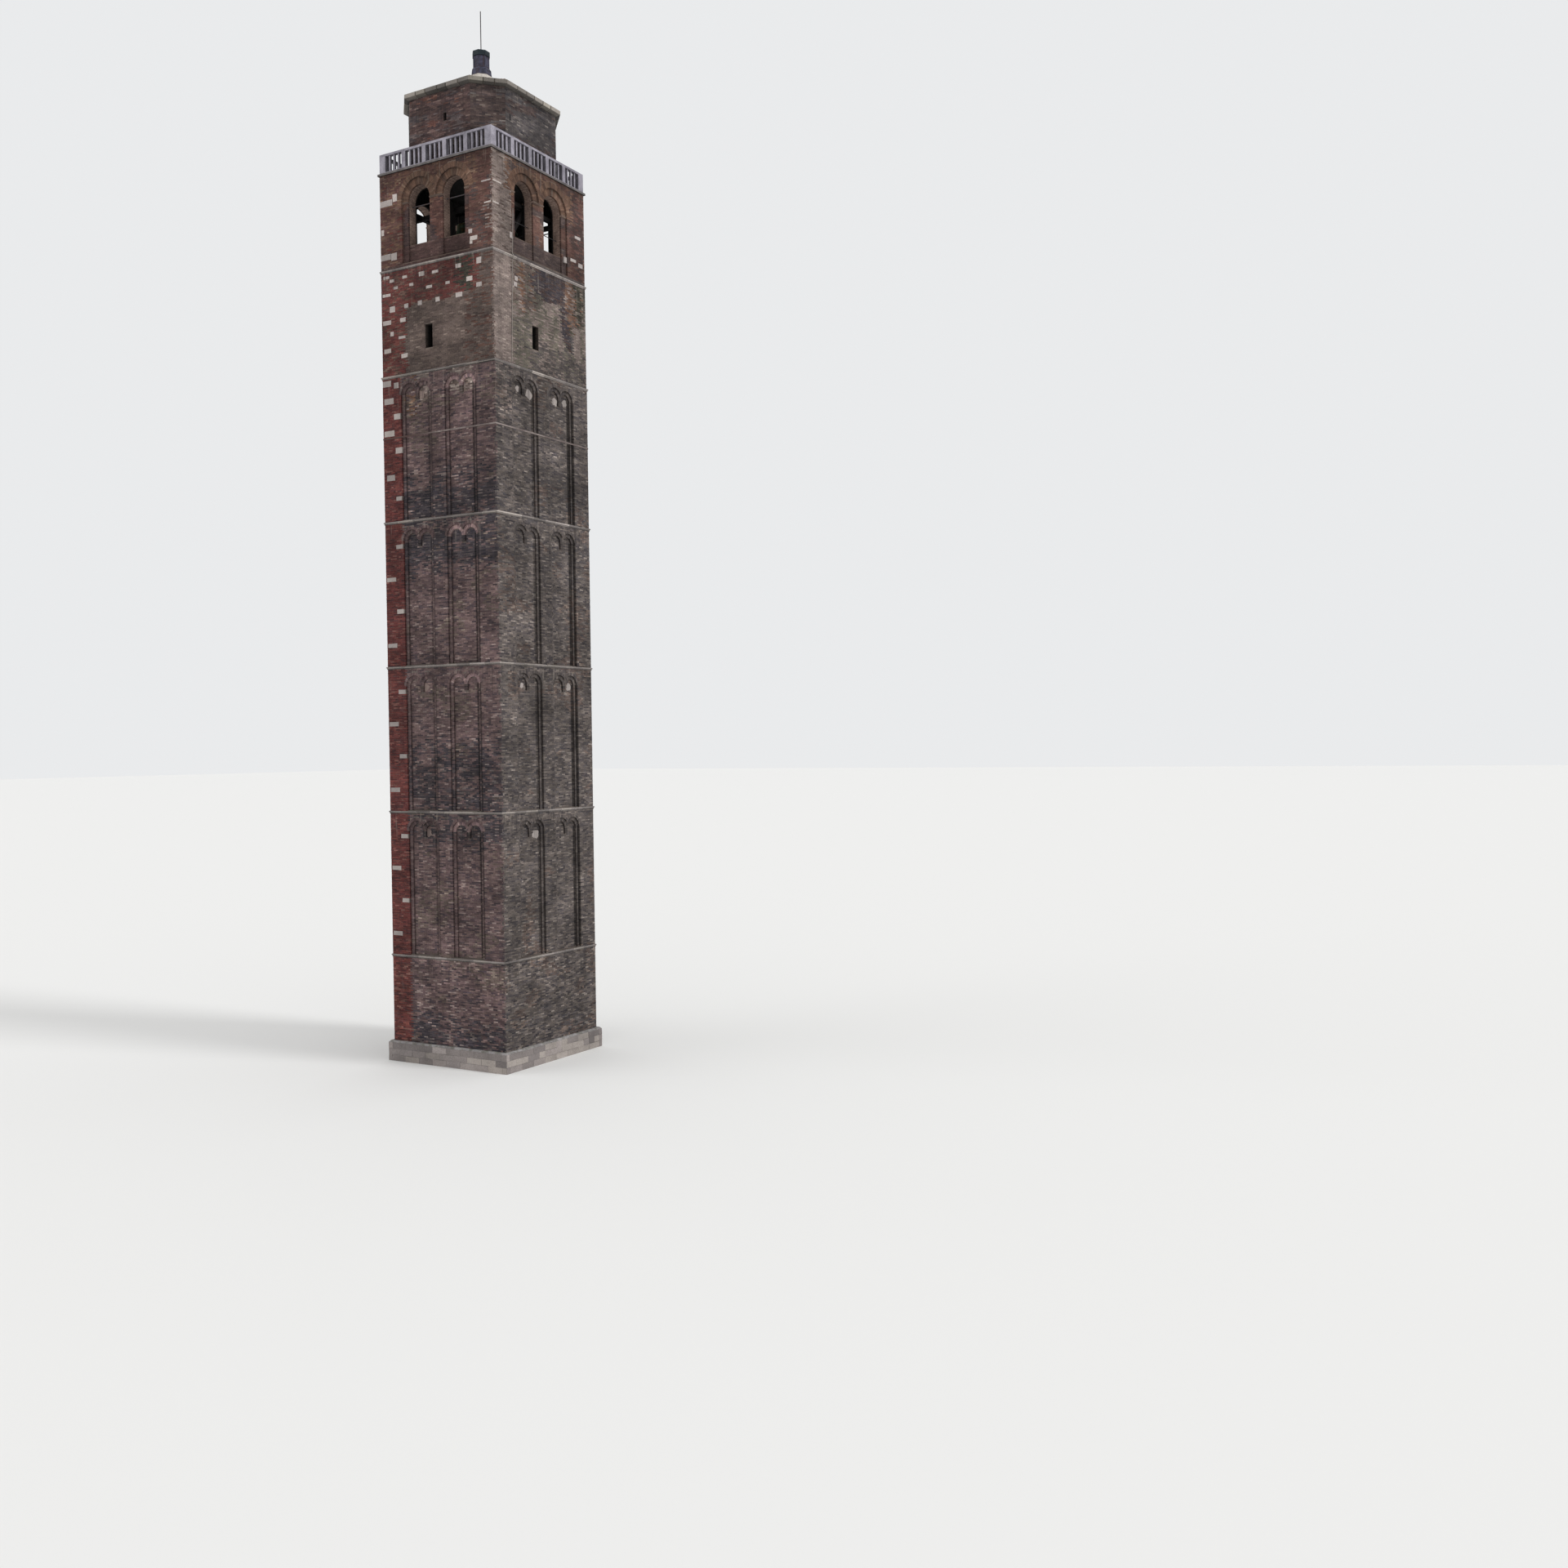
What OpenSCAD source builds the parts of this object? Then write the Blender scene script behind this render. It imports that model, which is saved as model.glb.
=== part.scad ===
// Brick bell tower at half its real size, in millimetres: 26 m tall instead of 52 m.
// The origin is the centre of its base on the ground. -Y is the front and +X the right side.

/* [Storeys] */
// Height of the stone plinth
plinth_h = 500; // [350:10:700]
// Top of the plain lowest storey
base_h = 2650; // [2400:10:3000]
// Height of one tier of blind arches, string course included
tier_h = 3560; // [3200:10:3900]
// Height of the plain storey under the belfry, string course included
middle_h = 2590; // [2300:10:2900]
// Height of the belfry walls
belfry_h = 2320; // [2200:10:2600]

/* [Plan] */
// Width across the pilaster strips of the tiers
tier_w = 3560; // [3500:10:3640]
// How far the plinth stands out from the tiers
plinth_out = 100; // [60:5:160]
// How far the plain storey is set back from the tiers
middle_in = 8; // [4:2:30]
// How far the belfry is set back from the plain storey
belfry_in = 4; // [2:2:30]
// Thickness of the walls of the tiers
tier_t = 500; // [440:10:540]
// Thickness of the walls of the plain storey
middle_t = 450; // [420:10:480]
// Thickness of the belfry walls
belfry_t = 350; // [300:10:380]

/* [String courses] */
// Height of a string course
string_h = 60; // [50:5:90]
// How far a string course stands out
string_out = 25; // [20:5:60]

/* [Blind arches] */
// Radius of a small blind arch
blind_r = 175; // [150:5:185]
// Distance between the centres of the two arches in a panel
blind_pitch = 445; // [430:5:460]
// Distance from the face's centre line to the middle of a panel
panel_x = 700; // [680:5:720]
// Width of the step round a panel
panel_step = 90; // [60:5:95]
// Depth of each of the two steps
panel_depth = 40; // [25:5:60]
// From the string course above down to the springing of the blind arches
blind_drop = 430; // [420:5:560]
// Length of the small pendant between two blind arches
pendant_h = 150; // [100:5:220]

/* [Belfry openings] */
// Width of a belfry opening
bell_opening_w = 700; // [640:10:760]
// Distance between the centres of the two openings of a side
bell_opening_pitch = 1100; // [1070:5:1140]
// Height of the sill over the string course
sill_h = 520; // [420:10:600]
// Height from the sill to the springing of the arch
jamb_h = 1050; // [950:10:1100]
// Width of the stepped order round an opening
order_step = 175; // [120:5:180]
// Depth of the stepped order
order_depth = 50; // [30:5:80]
// Depth of the parapet infill behind the order
infill_depth = 40; // [20:5:60]
// Height of an impost, the flat stone at the springing of the arches
impost_h = 34; // [24:2:50]
// How far an impost stands out in the stepped order
impost_out = 26; // [14:2:40]

/* [Slits and doorway] */
// Width of a slit window
slit_w = 230; // [180:5:260]
// Height of a slit window
slit_h = 570; // [450:10:650]
// Height of a slit's sill over the string course
slit_sill = 535; // [400:5:700]
// Sideways offset of a slit from the centre line
slit_x = -250; // [-300:5:-150]
// Width of the doorway
door_w = 550; // [480:10:620]
// Height of the doorway's springing over the ground
door_spring = 1150; // [1050:10:1300]
// Width of the doorway's stone surround
surround_w = 110; // [80:5:140]

/* [Walkway and balustrade] */
// Thickness of the walkway slab
walkway_t = 50; // [40:5:90]
// How far the walkway slab stands out
walkway_out = 40; // [30:5:80]
// Height of the balustrade
balustrade_h = 475; // [420:5:530]
// Width of a corner post
corner_post = 190; // [150:5:220]
// Width of a post between two bays
bay_post = 120; // [90:5:140]
// Number of bays on a side
bays = 5; // [4:1:6]
// Width of a baluster
baluster_w = 48; // [36:2:60]
// Number of balusters in a bay
balusters = 3; // [2:1:4]
// Depth of the rails
rail_d = 100; // [90:5:130]

/* [Drum and turret] */
// Clear width between the balustrade and the long sides of the eight-sided drum
walk_gap = 126; // [80:2:150]
// How much the drum's corners are cut back along each side
drum_cut = 580; // [500:10:700]
// Thickness of the drum's walls
drum_t = 250; // [200:10:300]
// Height of the drum's walls
drum_h = 1700; // [1500:10:1800]
// Height of the drum's stone cornice
cornice_h = 125; // [100:5:170]
// How far the cornice stands out
cornice_out = 115; // [70:5:130]
// Rise of the low roof
roof_rise = 500; // [400:10:560]
// Thickness of the roof
roof_t = 90; // [70:5:120]
// Width of the turret's body
turret_w = 370; // [330:5:400]
// Height of the turret's body
turret_h = 275; // [240:5:340]
// Height of the rod over the turret
rod_h = 990; // [850:10:1100]

/* [Bells] */
// Radius of the left bell's mouth
left_bell_r = 350; // [300:5:360]
// Radius of the right bell's mouth
right_bell_r = 325; // [290:5:360]
// Distance between the frame's trestles
trestle_pitch = 1300; // [1280:5:1310]
// Width of the frame's timbers
timber = 100; // [80:5:110]
// Height of the frame's top beams over the belfry floor
trestle_h = 1460; // [1420:5:1500]
// Distance between the bell frame and the walls
frame_gap = 220; // [150:5:260]

/* [Hidden] */
$fn = 48;

brick = [0.42, 0.34, 0.31];
dark_brick = [0.33, 0.28, 0.26];
warm_brick = [0.50, 0.38, 0.31];
pale_stone = [0.72, 0.69, 0.66];
grey_stone = [0.62, 0.60, 0.61];
lead = [0.28, 0.23, 0.25];
patina = [0.14, 0.20, 0.22];
iron = [0.30, 0.30, 0.31];
timber_brown = [0.30, 0.24, 0.19];
tile_red = [0.45, 0.30, 0.24];
bronze = [0.34, 0.40, 0.32];

// How far a cutting shape runs past the face that it cuts
over = 20;

// Widths of the storeys
plinth_w = tier_w + 2 * plinth_out;
middle_w = tier_w - 2 * middle_in;
belfry_w = middle_w - 2 * belfry_in;

// Levels, counted from the ground
lower_tiers = 3;
tier_z = base_h + lower_tiers * tier_h;
middle_z = tier_z + tier_h;
belfry_z = middle_z + middle_h;
walkway_z = belfry_z + belfry_h;
deck_z = walkway_z + walkway_t;
cornice_z = deck_z + drum_h;
roof_z = cornice_z + cornice_h;
roof_top = roof_z + roof_rise;

// Plinth and ground floor
ground_floor = 150;
plinth_bevel = 40;
surround_in = 120;
surround_out = 60;

// Shares of a string course: the upper fillet's height, and how far the band below it stands out
string_fillet = 0.45;
string_band = 0.4;

// Iron hoop round the upper tier
hoop_drop = 1530;
hoop_h = 36;
hoop_t = 12;

// Belfry floor and tie bars
floor_t = 100;
tie_r = 14;
tie_drop = 100;
infill_foot = 90;

// The drum is a square with its corners cut: its long sides and its short ones
drum_w = belfry_w - 2 * (rail_d + walk_gap);
drum_half = drum_w / 2;
drum_long = drum_half - drum_cut;
drum_corner_dist = (drum_w - drum_cut) / sqrt(2);
drum_short = drum_cut / sqrt(2);
mitre = tan(22.5);

// Small slits in the front and the back of the drum
drum_slit_w = 90;
drum_slit_h = 190;
drum_slit_x = 170;
drum_slit_z = 990;

// Balustrade
bottom_rail_h = 35;
top_rail_h = 55;
baluster_d = 50;

// Roof: its set-back on the cornice and the half width of its flat top
roof_in = 40;
roof_flat = 260;

// Turret
foot_h = 315;
foot_w = 500;
skirt_h = 215;
skirt_w = 490;
neck_w = 465;
flare_h = 70;
turret_sides = 8;
rib_w = 16;
rib_out = 8;
cap_h = 160;
cap_out = 14;
cap_rim = 120;
cap_tip = 66;
cap_knee = 0.8;
rod_r = 11;
sheet_gap = 0.2;
turret_z = roof_top + foot_h + sheet_gap;
body_z = turret_z + skirt_h;
cap_z = body_z + turret_h + sheet_gap;

// Bell frame
sill_z = belfry_z + floor_t;
beam_z = sill_z + trestle_h;
trestle_half = belfry_w / 2 - belfry_t - frame_gap;
brace_reach = trestle_half - 250;
brace_t = 80;
tie_gap = 30;
bearing_w = 90;
bearing_h = 90;
gudgeon_r = 15;
gudgeon_in = 36;
pin_clear = 0.4;
axle_z = beam_z + bearing_h / 2;

// Bells
bell_gap = 7;
headstock_h = 150;
headstock_w = 110;
headstock_drop = 60;
canon_h = 46;
canon_r = 42;
bell_top = axle_z - headstock_drop - canon_h;
crown_t = 26;
bell_steps = 9;

// Proportions of a bell, as shares of its mouth's radius
bell_tall = 1.45;
bell_waist = 0.5;
bell_thin = 0.085;
bow_thick = 0.085;
lip_r = 0.93;
crown_r = 0.44;
head_r = 0.34;
dome_r = 0.7;

// Proportions of a bell, as shares of its height
shoulder = 0.92;
crown_level = 0.98;
bow_level = 0.08;
bow_spread = 0.1;
flare = 2.4;

// Clapper and the lugs that hold its pin
lug_t = 10;
lug_d = 18;
lug_h = 46;
lug_root = 4;
lug_end = 12;
clapper_pin_r = 7;
clapper_eye = 20;
clapper_eye_r = 17;
clapper_r = 10;
clapper_reach = 0.93;
clapper_ball = 0.17;
tail_h = 1.6;
tail_r = 0.4;
pin_gap = 3;
clapper_pivot = lug_end - crown_t - lug_h;

// Turns what is drawn at the front to its own side: 0 front, 1 right, 2 back, 3 left
module turned(side) {
    rotate([0, 0, 90 * side]) children();
}

// A straight wall at the front, mitred into its neighbours
module wall_block(w, t, z0, z1) {
    half = w / 2;
    translate([0, 0, z0])
        linear_extrude(z1 - z0)
            polygon([[-half, -half], [half, -half], [half - t, t - half], [t - half, t - half]]);
}

// Cuts its flat children into the front face of a wall
module face_cut(w, depth) {
    translate([0, depth - w / 2, 0])
        rotate([90, 0, 0])
            linear_extrude(depth + over)
                children();
}

// Outline of one round-headed opening
module round_head(r, foot, spring) {
    translate([-r, foot]) square([2 * r, spring - foot]);
    translate([0, spring]) circle(r);
}

// Outline of a field under two round arches, with what is left between them down to a pendant
module twin_field(r, pitch, foot, spring, pendant) {
    half = pitch / 2 + r;
    translate([-half, foot]) square([2 * half, spring - pendant - foot]);
    for (side = [-1, 1])
        translate([side * pitch / 2, 0]) round_head(r, spring - pendant - over, spring);
}

// One tier: a wall with two sunk panels, each under two small arches
module tier_block(z0) {
    z1 = z0 + tier_h - string_h;
    spring = z1 - blind_drop;
    difference() {
        wall_block(tier_w, tier_t, z0, z1);
        for (side = [-1, 1]) {
            translate([side * panel_x, 0, 0])
                face_cut(tier_w, panel_depth)
                    twin_field(blind_r + panel_step, blind_pitch, z0 + over, spring, 0);
            translate([side * panel_x, 0, 0])
                face_cut(tier_w, 2 * panel_depth)
                    twin_field(blind_r, blind_pitch, z0 + over, spring, pendant_h);
        }
    }
}

module lower_wall(side) {
    color(dark_brick) turned(side) {
        difference() {
            wall_block(tier_w, tier_t, plinth_h, base_h - string_h);
            if (side == 3) door_cut();
        }
        for (i = [0 : lower_tiers - 1])
            tier_block(base_h + i * tier_h);
    }
}

// The doorway through the wall, with the seat of its surround
module door_cut() {
    face_cut(tier_w, tier_t + over)
        round_head(door_w / 2, ground_floor, door_spring);
    face_cut(tier_w, surround_in)
        round_head(door_w / 2 + surround_w, ground_floor, door_spring);
}

module tier_wall(side) {
    color(dark_brick) turned(side) tier_block(tier_z);
}

module middle_wall(side) {
    color(brick) turned(side)
        difference() {
            wall_block(middle_w, middle_t, middle_z, belfry_z - string_h);
            translate([slit_x, 0, 0])
                face_cut(middle_w, middle_t + over)
                    translate([-slit_w / 2, middle_z + slit_sill]) square([slit_w, slit_h]);
        }
}

// A belfry side: a stepped order round two arched openings, a sunk parapet under each, and imposts
module belfry_wall(side) {
    sill = belfry_z + sill_h;
    spring = sill + jamb_h;
    r = bell_opening_w / 2;
    color(warm_brick) turned(side) {
        difference() {
            wall_block(belfry_w, belfry_t, belfry_z, walkway_z);
            face_cut(belfry_w, order_depth)
                twin_field(r + order_step, bell_opening_pitch, belfry_z + infill_foot, spring, 0);
            for (half = [-1, 1])
                translate([half * bell_opening_pitch / 2, 0, 0]) {
                    face_cut(belfry_w, belfry_t + over) round_head(r, sill, spring);
                    face_cut(belfry_w, order_depth + infill_depth)
                        translate([-r, belfry_z + infill_foot]) square([2 * r, sill_h]);
                }
        }
        imposts(spring, r);
    }
}

// Flat stones at the springing, on the pier and on the outer jambs of the stepped order
module imposts(spring, r) {
    pier = bell_opening_pitch - 2 * r;
    jamb_x = (bell_opening_pitch + order_step) / 2 + r;
    for (place = [[-jamb_x, order_step], [0, pier], [jamb_x, order_step]])
        translate([place[0] - place[1] / 2, order_depth - impost_out - belfry_w / 2, spring - impost_h])
            cube([place[1], impost_out + impost_h / 2, impost_h]);
}

// One straight length of moulding at the front: a bevelled fillet over a band, mitred at its ends
module string_bar(w, t, top) {
    out = w / 2 + string_out;
    band = w / 2 + string_out * string_band;
    fillet = top - string_h * string_fillet;
    bevel = string_h / 6;
    intersection() {
        rotate([90, 0, 90])
            linear_extrude(2 * out, center = true)
                polygon([
                    [t - w / 2, top - string_h], [-band, top - string_h],
                    [-band, fillet - bevel], [-out, fillet],
                    [-out, top - bevel], [bevel - out, top], [t - w / 2, top]
                ]);
        translate([0, 0, top - string_h])
            linear_extrude(string_h)
                polygon([[0, 0], [-out, -out], [out, -out]]);
    }
}

module string_courses(side) {
    color(pale_stone) turned(side) {
        for (i = [0 : lower_tiers + 1])
            string_bar(tier_w, tier_t, base_h + i * tier_h);
        string_bar(middle_w, middle_t, belfry_z);
    }
}

// Stone socle with the ground floor in it, cut through at the doorway
module plinth() {
    half = plinth_w / 2;
    inner = tier_w - 2 * tier_t;
    side_cut = door_w + 2 * surround_w;
    color(grey_stone)
        difference() {
            intersection_for(turn = [0, 90])
                rotate([90, 0, turn])
                    linear_extrude(plinth_w, center = true)
                        polygon([
                            [-half, 0], [half, 0], [half, plinth_h - plinth_bevel],
                            [half - plinth_bevel, plinth_h], [plinth_bevel - half, plinth_h],
                            [-half, plinth_h - plinth_bevel]
                        ]);
            translate([-inner / 2, -inner / 2, ground_floor])
                cube([inner, inner, plinth_h]);
            turned(3) {
                translate([-door_w / 2, -half - over, ground_floor])
                    cube([door_w, half, plinth_h]);
                translate([-side_cut / 2, -half - over, ground_floor])
                    cube([side_cut, half + over - tier_w / 2 + surround_in, plinth_h]);
            }
        }
}

// Arched stone frame of the doorway
module door_surround() {
    color(pale_stone) turned(3)
        difference() {
            translate([0, surround_in - tier_w / 2, 0])
                rotate([90, 0, 0])
                    linear_extrude(surround_in + surround_out)
                        round_head(door_w / 2 + surround_w, ground_floor, door_spring);
            face_cut(tier_w, surround_in + over)
                round_head(door_w / 2, ground_floor - over, door_spring);
            translate([-door_w / 2, -tier_w, 0])
                cube([door_w, tier_w, door_spring]);
            translate([0, over - tier_w / 2, door_spring])
                rotate([90, 0, 0])
                    cylinder(h = 2 * surround_out + over, d = door_w);
        }
}

module iron_hoop() {
    inner = tier_w;
    outer = tier_w + 2 * hoop_t;
    color(iron)
        translate([0, 0, middle_z - hoop_drop])
            difference() {
                translate([-outer / 2, -outer / 2, 0]) cube([outer, outer, hoop_h]);
                translate([-inner / 2, -inner / 2, -over]) cube([inner, inner, hoop_h + 2 * over]);
            }
}

module belfry_floor() {
    inner = belfry_w - 2 * belfry_t;
    color(timber_brown)
        translate([-inner / 2, -inner / 2, belfry_z])
            cube([inner, inner, floor_t]);
}

// Iron bars across the openings of the front and the back
module tie_bars() {
    z = belfry_z + sill_h + jamb_h - tie_drop;
    color(iron)
        for (side = [0, 2], half = [-1, 1])
            turned(side)
                translate([half * bell_opening_pitch / 2, (order_depth + belfry_t - belfry_w) / 2, z])
                    rotate([0, 90, 0])
                        cylinder(h = bell_opening_w, r = tie_r, center = true);
}

module walkway_slab() {
    w = belfry_w + 2 * walkway_out;
    color(grey_stone)
        translate([-w / 2, -w / 2, walkway_z])
            cube([w, w, walkway_t]);
}

// One side of the balustrade between its corner posts
module balustrade_side(side) {
    run = belfry_w - 2 * corner_post;
    pitch = (run + bay_post) / bays;
    gap = (pitch - bay_post - balusters * baluster_w) / (balusters + 1);
    bar_z = deck_z + bottom_rail_h;
    bar_h = balustrade_h - bottom_rail_h - top_rail_h;
    turned(side) translate([-run / 2, -belfry_w / 2, 0]) {
        translate([0, 0, deck_z]) cube([run, rail_d, bottom_rail_h]);
        translate([0, 0, bar_z + bar_h]) cube([run, rail_d, top_rail_h]);
        for (bay = [0 : bays - 1]) {
            if (bay > 0)
                translate([bay * pitch - bay_post, 0, bar_z]) cube([bay_post, rail_d, bar_h]);
            for (i = [0 : balusters - 1])
                translate([bay * pitch + gap + i * (gap + baluster_w), (rail_d - baluster_d) / 2, bar_z])
                    cube([baluster_w, baluster_d, bar_h]);
        }
    }
}

module balustrade_sides() {
    color(grey_stone) for (side = [0 : 3]) balustrade_side(side);
}

module balustrade_corners() {
    color(grey_stone)
        for (side = [0 : 3])
            turned(side)
                translate([-belfry_w / 2, -belfry_w / 2, deck_z])
                    cube([corner_post, corner_post, balustrade_h]);
}

// One side of the drum, at a distance from the centre, with mitred ends
module drum_wall(dist, half) {
    translate([0, 0, deck_z])
        linear_extrude(drum_h)
            polygon([
                [-half, -dist], [half, -dist],
                [half - mitre * drum_t, drum_t - dist], [mitre * drum_t - half, drum_t - dist]
            ]);
}

module drum_sides() {
    color(brick)
        for (side = [0 : 3])
            turned(side)
                difference() {
                    drum_wall(drum_half, drum_long);
                    if (side % 2 == 0)
                        face_cut(drum_w, drum_t + over)
                            translate([drum_slit_x - drum_slit_w / 2, deck_z + drum_slit_z])
                                square([drum_slit_w, drum_slit_h]);
                }
}

module drum_corners() {
    color(brick)
        for (side = [0 : 3])
            rotate([0, 0, 45 + 90 * side]) drum_wall(drum_corner_dist, drum_short);
}

// A solid with four pairs of like sides: its outline across a pair is given by [distance, height]
module eight_sided(edge) {
    intersection_for(turn = [0 : 3]) {
        dist = turn % 2 == 0 ? drum_half : drum_corner_dist;
        points = [for (p = edge) [dist + p[0], p[1]]];
        back = [for (i = [len(points) - 1 : -1 : 0]) [-points[i][0], points[i][1]]];
        rotate([90, 0, 45 * turn])
            linear_extrude(2 * drum_w, center = true)
                polygon(concat(points, back));
    }
}

module drum_cornice() {
    fillet = cornice_h / 3;
    color(pale_stone)
        difference() {
            eight_sided([
                [0, cornice_z], [cornice_out - fillet, cornice_z + fillet / 2],
                [cornice_out, cornice_z + fillet], [cornice_out, roof_z]
            ]);
            eight_sided([[-drum_t, cornice_z - over], [-drum_t, roof_z + over]]);
        }
}

// Low hipped roof over the drum, hollow underneath
module roof() {
    slope_run = drum_half - roof_in - roof_flat;
    color(tile_red)
        difference() {
            eight_sided([[-roof_in, roof_z], [-roof_in - slope_run, roof_top]]);
            eight_sided([
                [-drum_t, roof_z - over], [-drum_t, roof_z],
                [-roof_in - slope_run, roof_top - roof_t]
            ]);
        }
}

module turret_foot() {
    color(pale_stone)
        translate([0, 0, roof_top])
            rotate([0, 0, 180 / turret_sides])
                cylinder(h = foot_h, d = foot_w / cos(180 / turret_sides), $fn = turret_sides);
}

// Eight-sided body over a bell-shaped skirt, with a standing seam at each edge
module turret() {
    across = cos(180 / turret_sides);
    flare_z = skirt_h - flare_h;
    color(lead) {
        translate([0, 0, turret_z])
            rotate([0, 0, 180 / turret_sides]) {
                cylinder(h = flare_z, d1 = skirt_w / across, d2 = neck_w / across, $fn = turret_sides);
                translate([0, 0, flare_z])
                    cylinder(h = flare_h, d1 = neck_w / across, d2 = turret_w / across, $fn = turret_sides);
                translate([0, 0, skirt_h])
                    cylinder(h = turret_h, d = turret_w / across, $fn = turret_sides);
            }
        for (i = [0 : turret_sides - 1])
            rotate([0, 0, 180 / turret_sides + i * 360 / turret_sides])
                translate([turret_w / 2 / across - rib_w, -rib_w / 2, body_z])
                    cube([rib_w + rib_out, rib_w, turret_h]);
    }
}

// A band round the top of the body under a low eight-sided dome
module turret_cap() {
    across = cos(180 / turret_sides);
    w = turret_w + 2 * rib_out + 2 * cap_out;
    rise = cap_h - cap_rim;
    color(patina)
        translate([0, 0, cap_z])
            rotate([0, 0, 180 / turret_sides]) {
                cylinder(h = cap_rim, d = w / across, $fn = turret_sides);
                translate([0, 0, cap_rim])
                    cylinder(h = rise / 2, d1 = w / across, d2 = cap_knee * w, $fn = turret_sides);
                translate([0, 0, cap_rim + rise / 2])
                    cylinder(h = rise / 2, d1 = cap_knee * w, d2 = cap_tip, $fn = turret_sides);
            }
}

module rod() {
    color(iron)
        translate([0, 0, cap_z + cap_h])
            cylinder(h = rod_h, r = rod_r);
}

// Timber trestles of the bell frame, seen along X: sill, top beam, three posts and two braces
module trestle() {
    top = beam_z - timber;
    half = trestle_half;
    translate([-timber / 2, -half, sill_z]) cube([timber, 2 * half, timber]);
    translate([-timber / 2, -half, top]) cube([timber, 2 * half, timber]);
    for (y = [timber / 2 - half, 0, half - timber / 2])
        translate([-timber / 2, y - timber / 2, sill_z + timber])
            cube([timber, timber, top - sill_z - timber]);
    for (side = [-1, 1])
        rotate([90, 0, 90])
            linear_extrude(brace_t, center = true)
                polygon([
                    [side * brace_reach, sill_z + timber], [side * (brace_reach - timber), sill_z + timber],
                    [side * timber / 2, top - timber], [side * timber / 2, top], [side * timber, top]
                ]);
}

module trestles() {
    color(timber_brown)
        for (i = [-1 : 1]) translate([i * trestle_pitch, 0, 0]) trestle();
}

// Beams along X that join the trestles: two on their sills and two along the outer posts' inner faces
module frame_ties() {
    reach = trestle_pitch + timber / 2;
    low_y = brace_reach + timber / 2 + tie_gap;
    high_y = trestle_half - 1.5 * timber;
    high_z = beam_z - timber - tie_gap - timber;
    color(timber_brown)
        for (side = [-1, 1], place = [[low_y, sill_z + timber], [high_y, high_z]])
            translate([-reach, side * place[0] - timber / 2, place[1]])
                cube([2 * reach, timber, timber]);
}

module bearings() {
    color(iron)
        for (i = [-1 : 1])
            translate([i * trestle_pitch, 0, beam_z])
                difference() {
                    translate([-timber / 2, -bearing_w / 2, 0]) cube([timber, bearing_w, bearing_h]);
                    translate([-timber, 0, bearing_h / 2])
                        rotate([0, 90, 0]) cylinder(h = 2 * timber, r = gudgeon_r + pin_clear);
                }
}

// Timber headstock with its gudgeons, about the axis of the bell
module headstock(x) {
    span = trestle_pitch - timber - 2 * bell_gap;
    color(timber_brown)
        translate([x, 0, axle_z]) {
            translate([-span / 2, -headstock_w / 2, -headstock_drop]) cube([span, headstock_w, headstock_h]);
            rotate([0, 90, 0])
                cylinder(h = trestle_pitch - timber + 2 * gudgeon_in, r = gudgeon_r, center = true);
        }
}

// Outer radius of a bell of mouth radius r at the height share t
function bell_out(r, t) = r * (bell_waist + (1 - bell_waist) * pow(1 - t, flare));
// Wall of a bell: thickest at the sound bow just over the mouth
function bell_wall(r, t) = r * (bell_thin + bow_thick * exp(-pow((t - bow_level) / bow_spread, 2)));
function bell_in(r, t) = bell_out(r, t) - bell_wall(r, t);
function bell_h(r) = bell_tall * r;

module bell(x, r) {
    h = bell_h(r);
    under_crown = h - crown_t;
    levels = [for (i = [0 : bell_steps]) shoulder * i / bell_steps];
    outer = [for (t = levels) [bell_out(r, t), t * h]];
    head = [[crown_r * r, crown_level * h], [head_r * r, h], [0, h]];
    dome = [[0, under_crown], [dome_r * bell_in(r, shoulder), under_crown]];
    inner = [for (i = [bell_steps : -1 : 1]) [bell_in(r, levels[i]), levels[i] * h]];
    color(bronze)
        translate([x, 0, bell_top]) {
            translate([0, 0, -h])
                rotate_extrude()
                    polygon(concat(outer, head, dome, inner, [[lip_r * r, 0]]));
            cylinder(h = canon_h, r = canon_r);
            clapper_lugs();
        }
}

// Two lugs under the crown, with the pin that the clapper hangs on
module clapper_lugs() {
    lug_x = clapper_eye / 2 + pin_gap;
    for (side = [-1, 1])
        translate([side * (lug_x + lug_t / 2) - lug_t / 2, -lug_d / 2, -crown_t - lug_h])
            cube([lug_t, lug_d, lug_h + lug_root]);
    translate([0, 0, clapper_pivot])
        rotate([0, 90, 0])
            cylinder(h = 2 * lug_x + lug_t, r = clapper_pin_r, center = true);
}

// Clapper, from the bell's crown down
module clapper(x, r) {
    reach = bell_h(r) * clapper_reach + clapper_pivot;
    ball = clapper_ball * r;
    color(iron)
        translate([x, 0, bell_top + clapper_pivot]) {
            difference() {
                union() {
                    rotate([0, 90, 0])
                        cylinder(h = clapper_eye, r = clapper_eye_r, center = true);
                    translate([0, 0, -reach])
                        cylinder(h = reach - clapper_pin_r, r = clapper_r);
                }
                rotate([0, 90, 0])
                    cylinder(h = 2 * clapper_eye, r = clapper_pin_r + pin_clear, center = true);
            }
            translate([0, 0, -reach]) sphere(ball);
            translate([0, 0, -reach - tail_h * ball]) cylinder(h = ball, r = tail_r * ball);
        }
}

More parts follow.
